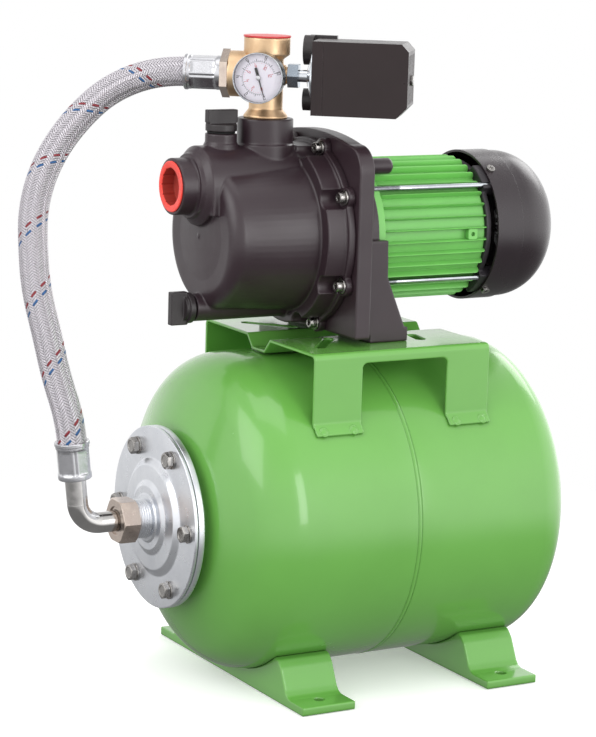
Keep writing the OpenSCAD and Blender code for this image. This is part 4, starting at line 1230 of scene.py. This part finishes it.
def make_world():
    """Uneven white surround for lighting; the camera itself sees plain white."""
    world = bpy.data.worlds.new("studio")
    bpy.context.scene.world = world
    world.use_nodes = True
    g = Graph(world.node_tree)

    def step(value, source, to):
        return g.remap(value, source, to, interpolation_type="SMOOTHSTEP")

    def ground_direction(x_part, y_part):
        return g.math("ADD", g.math("MULTIPLY", x, x_part), g.math("MULTIPLY", y, y_part))

    generated = g.add("ShaderNodeTexCoord").outputs["Generated"]
    x, y, z = g.add("ShaderNodeSeparateXYZ", {0: generated}).outputs
    # away from the camera, and to its left, on the ground plane
    away = ground_direction(0.494, 0.869)
    left = ground_direction(-0.872, 0.490)
    upper = step(z, source=(-0.45, -0.08), to=(0, 1))
    glow = g.math("ADD", step(away, source=(-0.2, 0.6), to=(1.40, 1.10)),
                  step(left, source=(0.25, 0.8), to=(0.0, -0.15)))
    glow = g.math("ADD", glow, step(x, source=(0.35, 0.9), to=(0.0, 0.6)))
    glow = g.math("MULTIPLY", glow, step(z, source=(0.25, 0.9), to=(1.0, 0.62)))
    below_level = 0.24
    below = g.math("MULTIPLY", g.math("SUBTRACT", 1.0, upper), below_level)
    level = g.math("ADD", g.math("MULTIPLY", upper, glow), below)
    lighting = g.tree.nodes["Background"]
    g.set(lighting, {"Color": (1, 1, 1, 1), "Strength": level})
    seen = g.add("ShaderNodeBackground", {"Color": (1, 1, 1, 1), "Strength": 1.0})
    camera_ray = g.add("ShaderNodeLightPath").outputs["Is Camera Ray"]
    g.set(g.tree.nodes["World Output"],
          {"Surface": g.mix_shader(camera_ray, lighting.outputs[0], seen.outputs[0])})


def make_camera():
    data = bpy.data.cameras.new("camera")
    camera = link_object("camera", data)
    axes = Matrix((VIEW_RIGHT, VIEW_UP, -VIEW)).transposed()
    camera.matrix_world = axes.to_4x4()
    camera.matrix_world.translation = (VIEW_TARGET - VIEW * VIEW_DISTANCE) * MM
    data.sensor_width = 36
    data.lens = 128.551262
    data.clip_start, data.clip_end = 0.05, 50
    bpy.context.scene.camera = camera


def make_light(name, offset, size, power):
    away, right, up = offset
    level_view = Vector((VIEW.x, VIEW.y, 0)).normalized()
    level_right = Vector((VIEW_RIGHT.x, VIEW_RIGHT.y, 0)).normalized()
    place = LIGHT_AIM + level_view * away + level_right * right + Vector((0, 0, up))
    data = bpy.data.lights.new(name, "AREA")
    data.shape = "RECTANGLE"
    data.size, data.size_y = size
    data.energy = power
    light = link_object(name, data)
    light.location = place
    light.rotation_euler = (LIGHT_AIM - place).to_track_quat("-Z", "Y").to_euler()


# ------------------------------------------------------------ build
finish_cad_nodes()
dished_head("tank_head_flange_side", "tank_shell_flange_side", straight=104.7,
            knuckle_r=45.4, crown_r=229.5, hole_r=62.05, flip=True)
dished_head("tank_head_motor_side", "tank_shell_motor_side", straight=123.8,
            knuckle_r=31.5, crown_r=289.5, hole_r=4.05, flip=False)
seam_weld()
flange_plate()
flange_ring()
flange_bolts()
for row in SOFTENED:
    soften(*row)
suction_plug()
casing_screws()
deck_bolts()
saddle_weld_marks()
motor_housing()
tie_rods()
hose_liner()
hose_braid()
ferrules()
gauge_case()
gauge_dial()
gauge_needle()
gauge_lens()

make_floor()
make_world()
make_camera()
for row in LIGHTS:
    make_light(*row)

bpy.context.scene.view_settings.view_transform = "Standard"
bpy.context.scene.view_settings.look = "None"
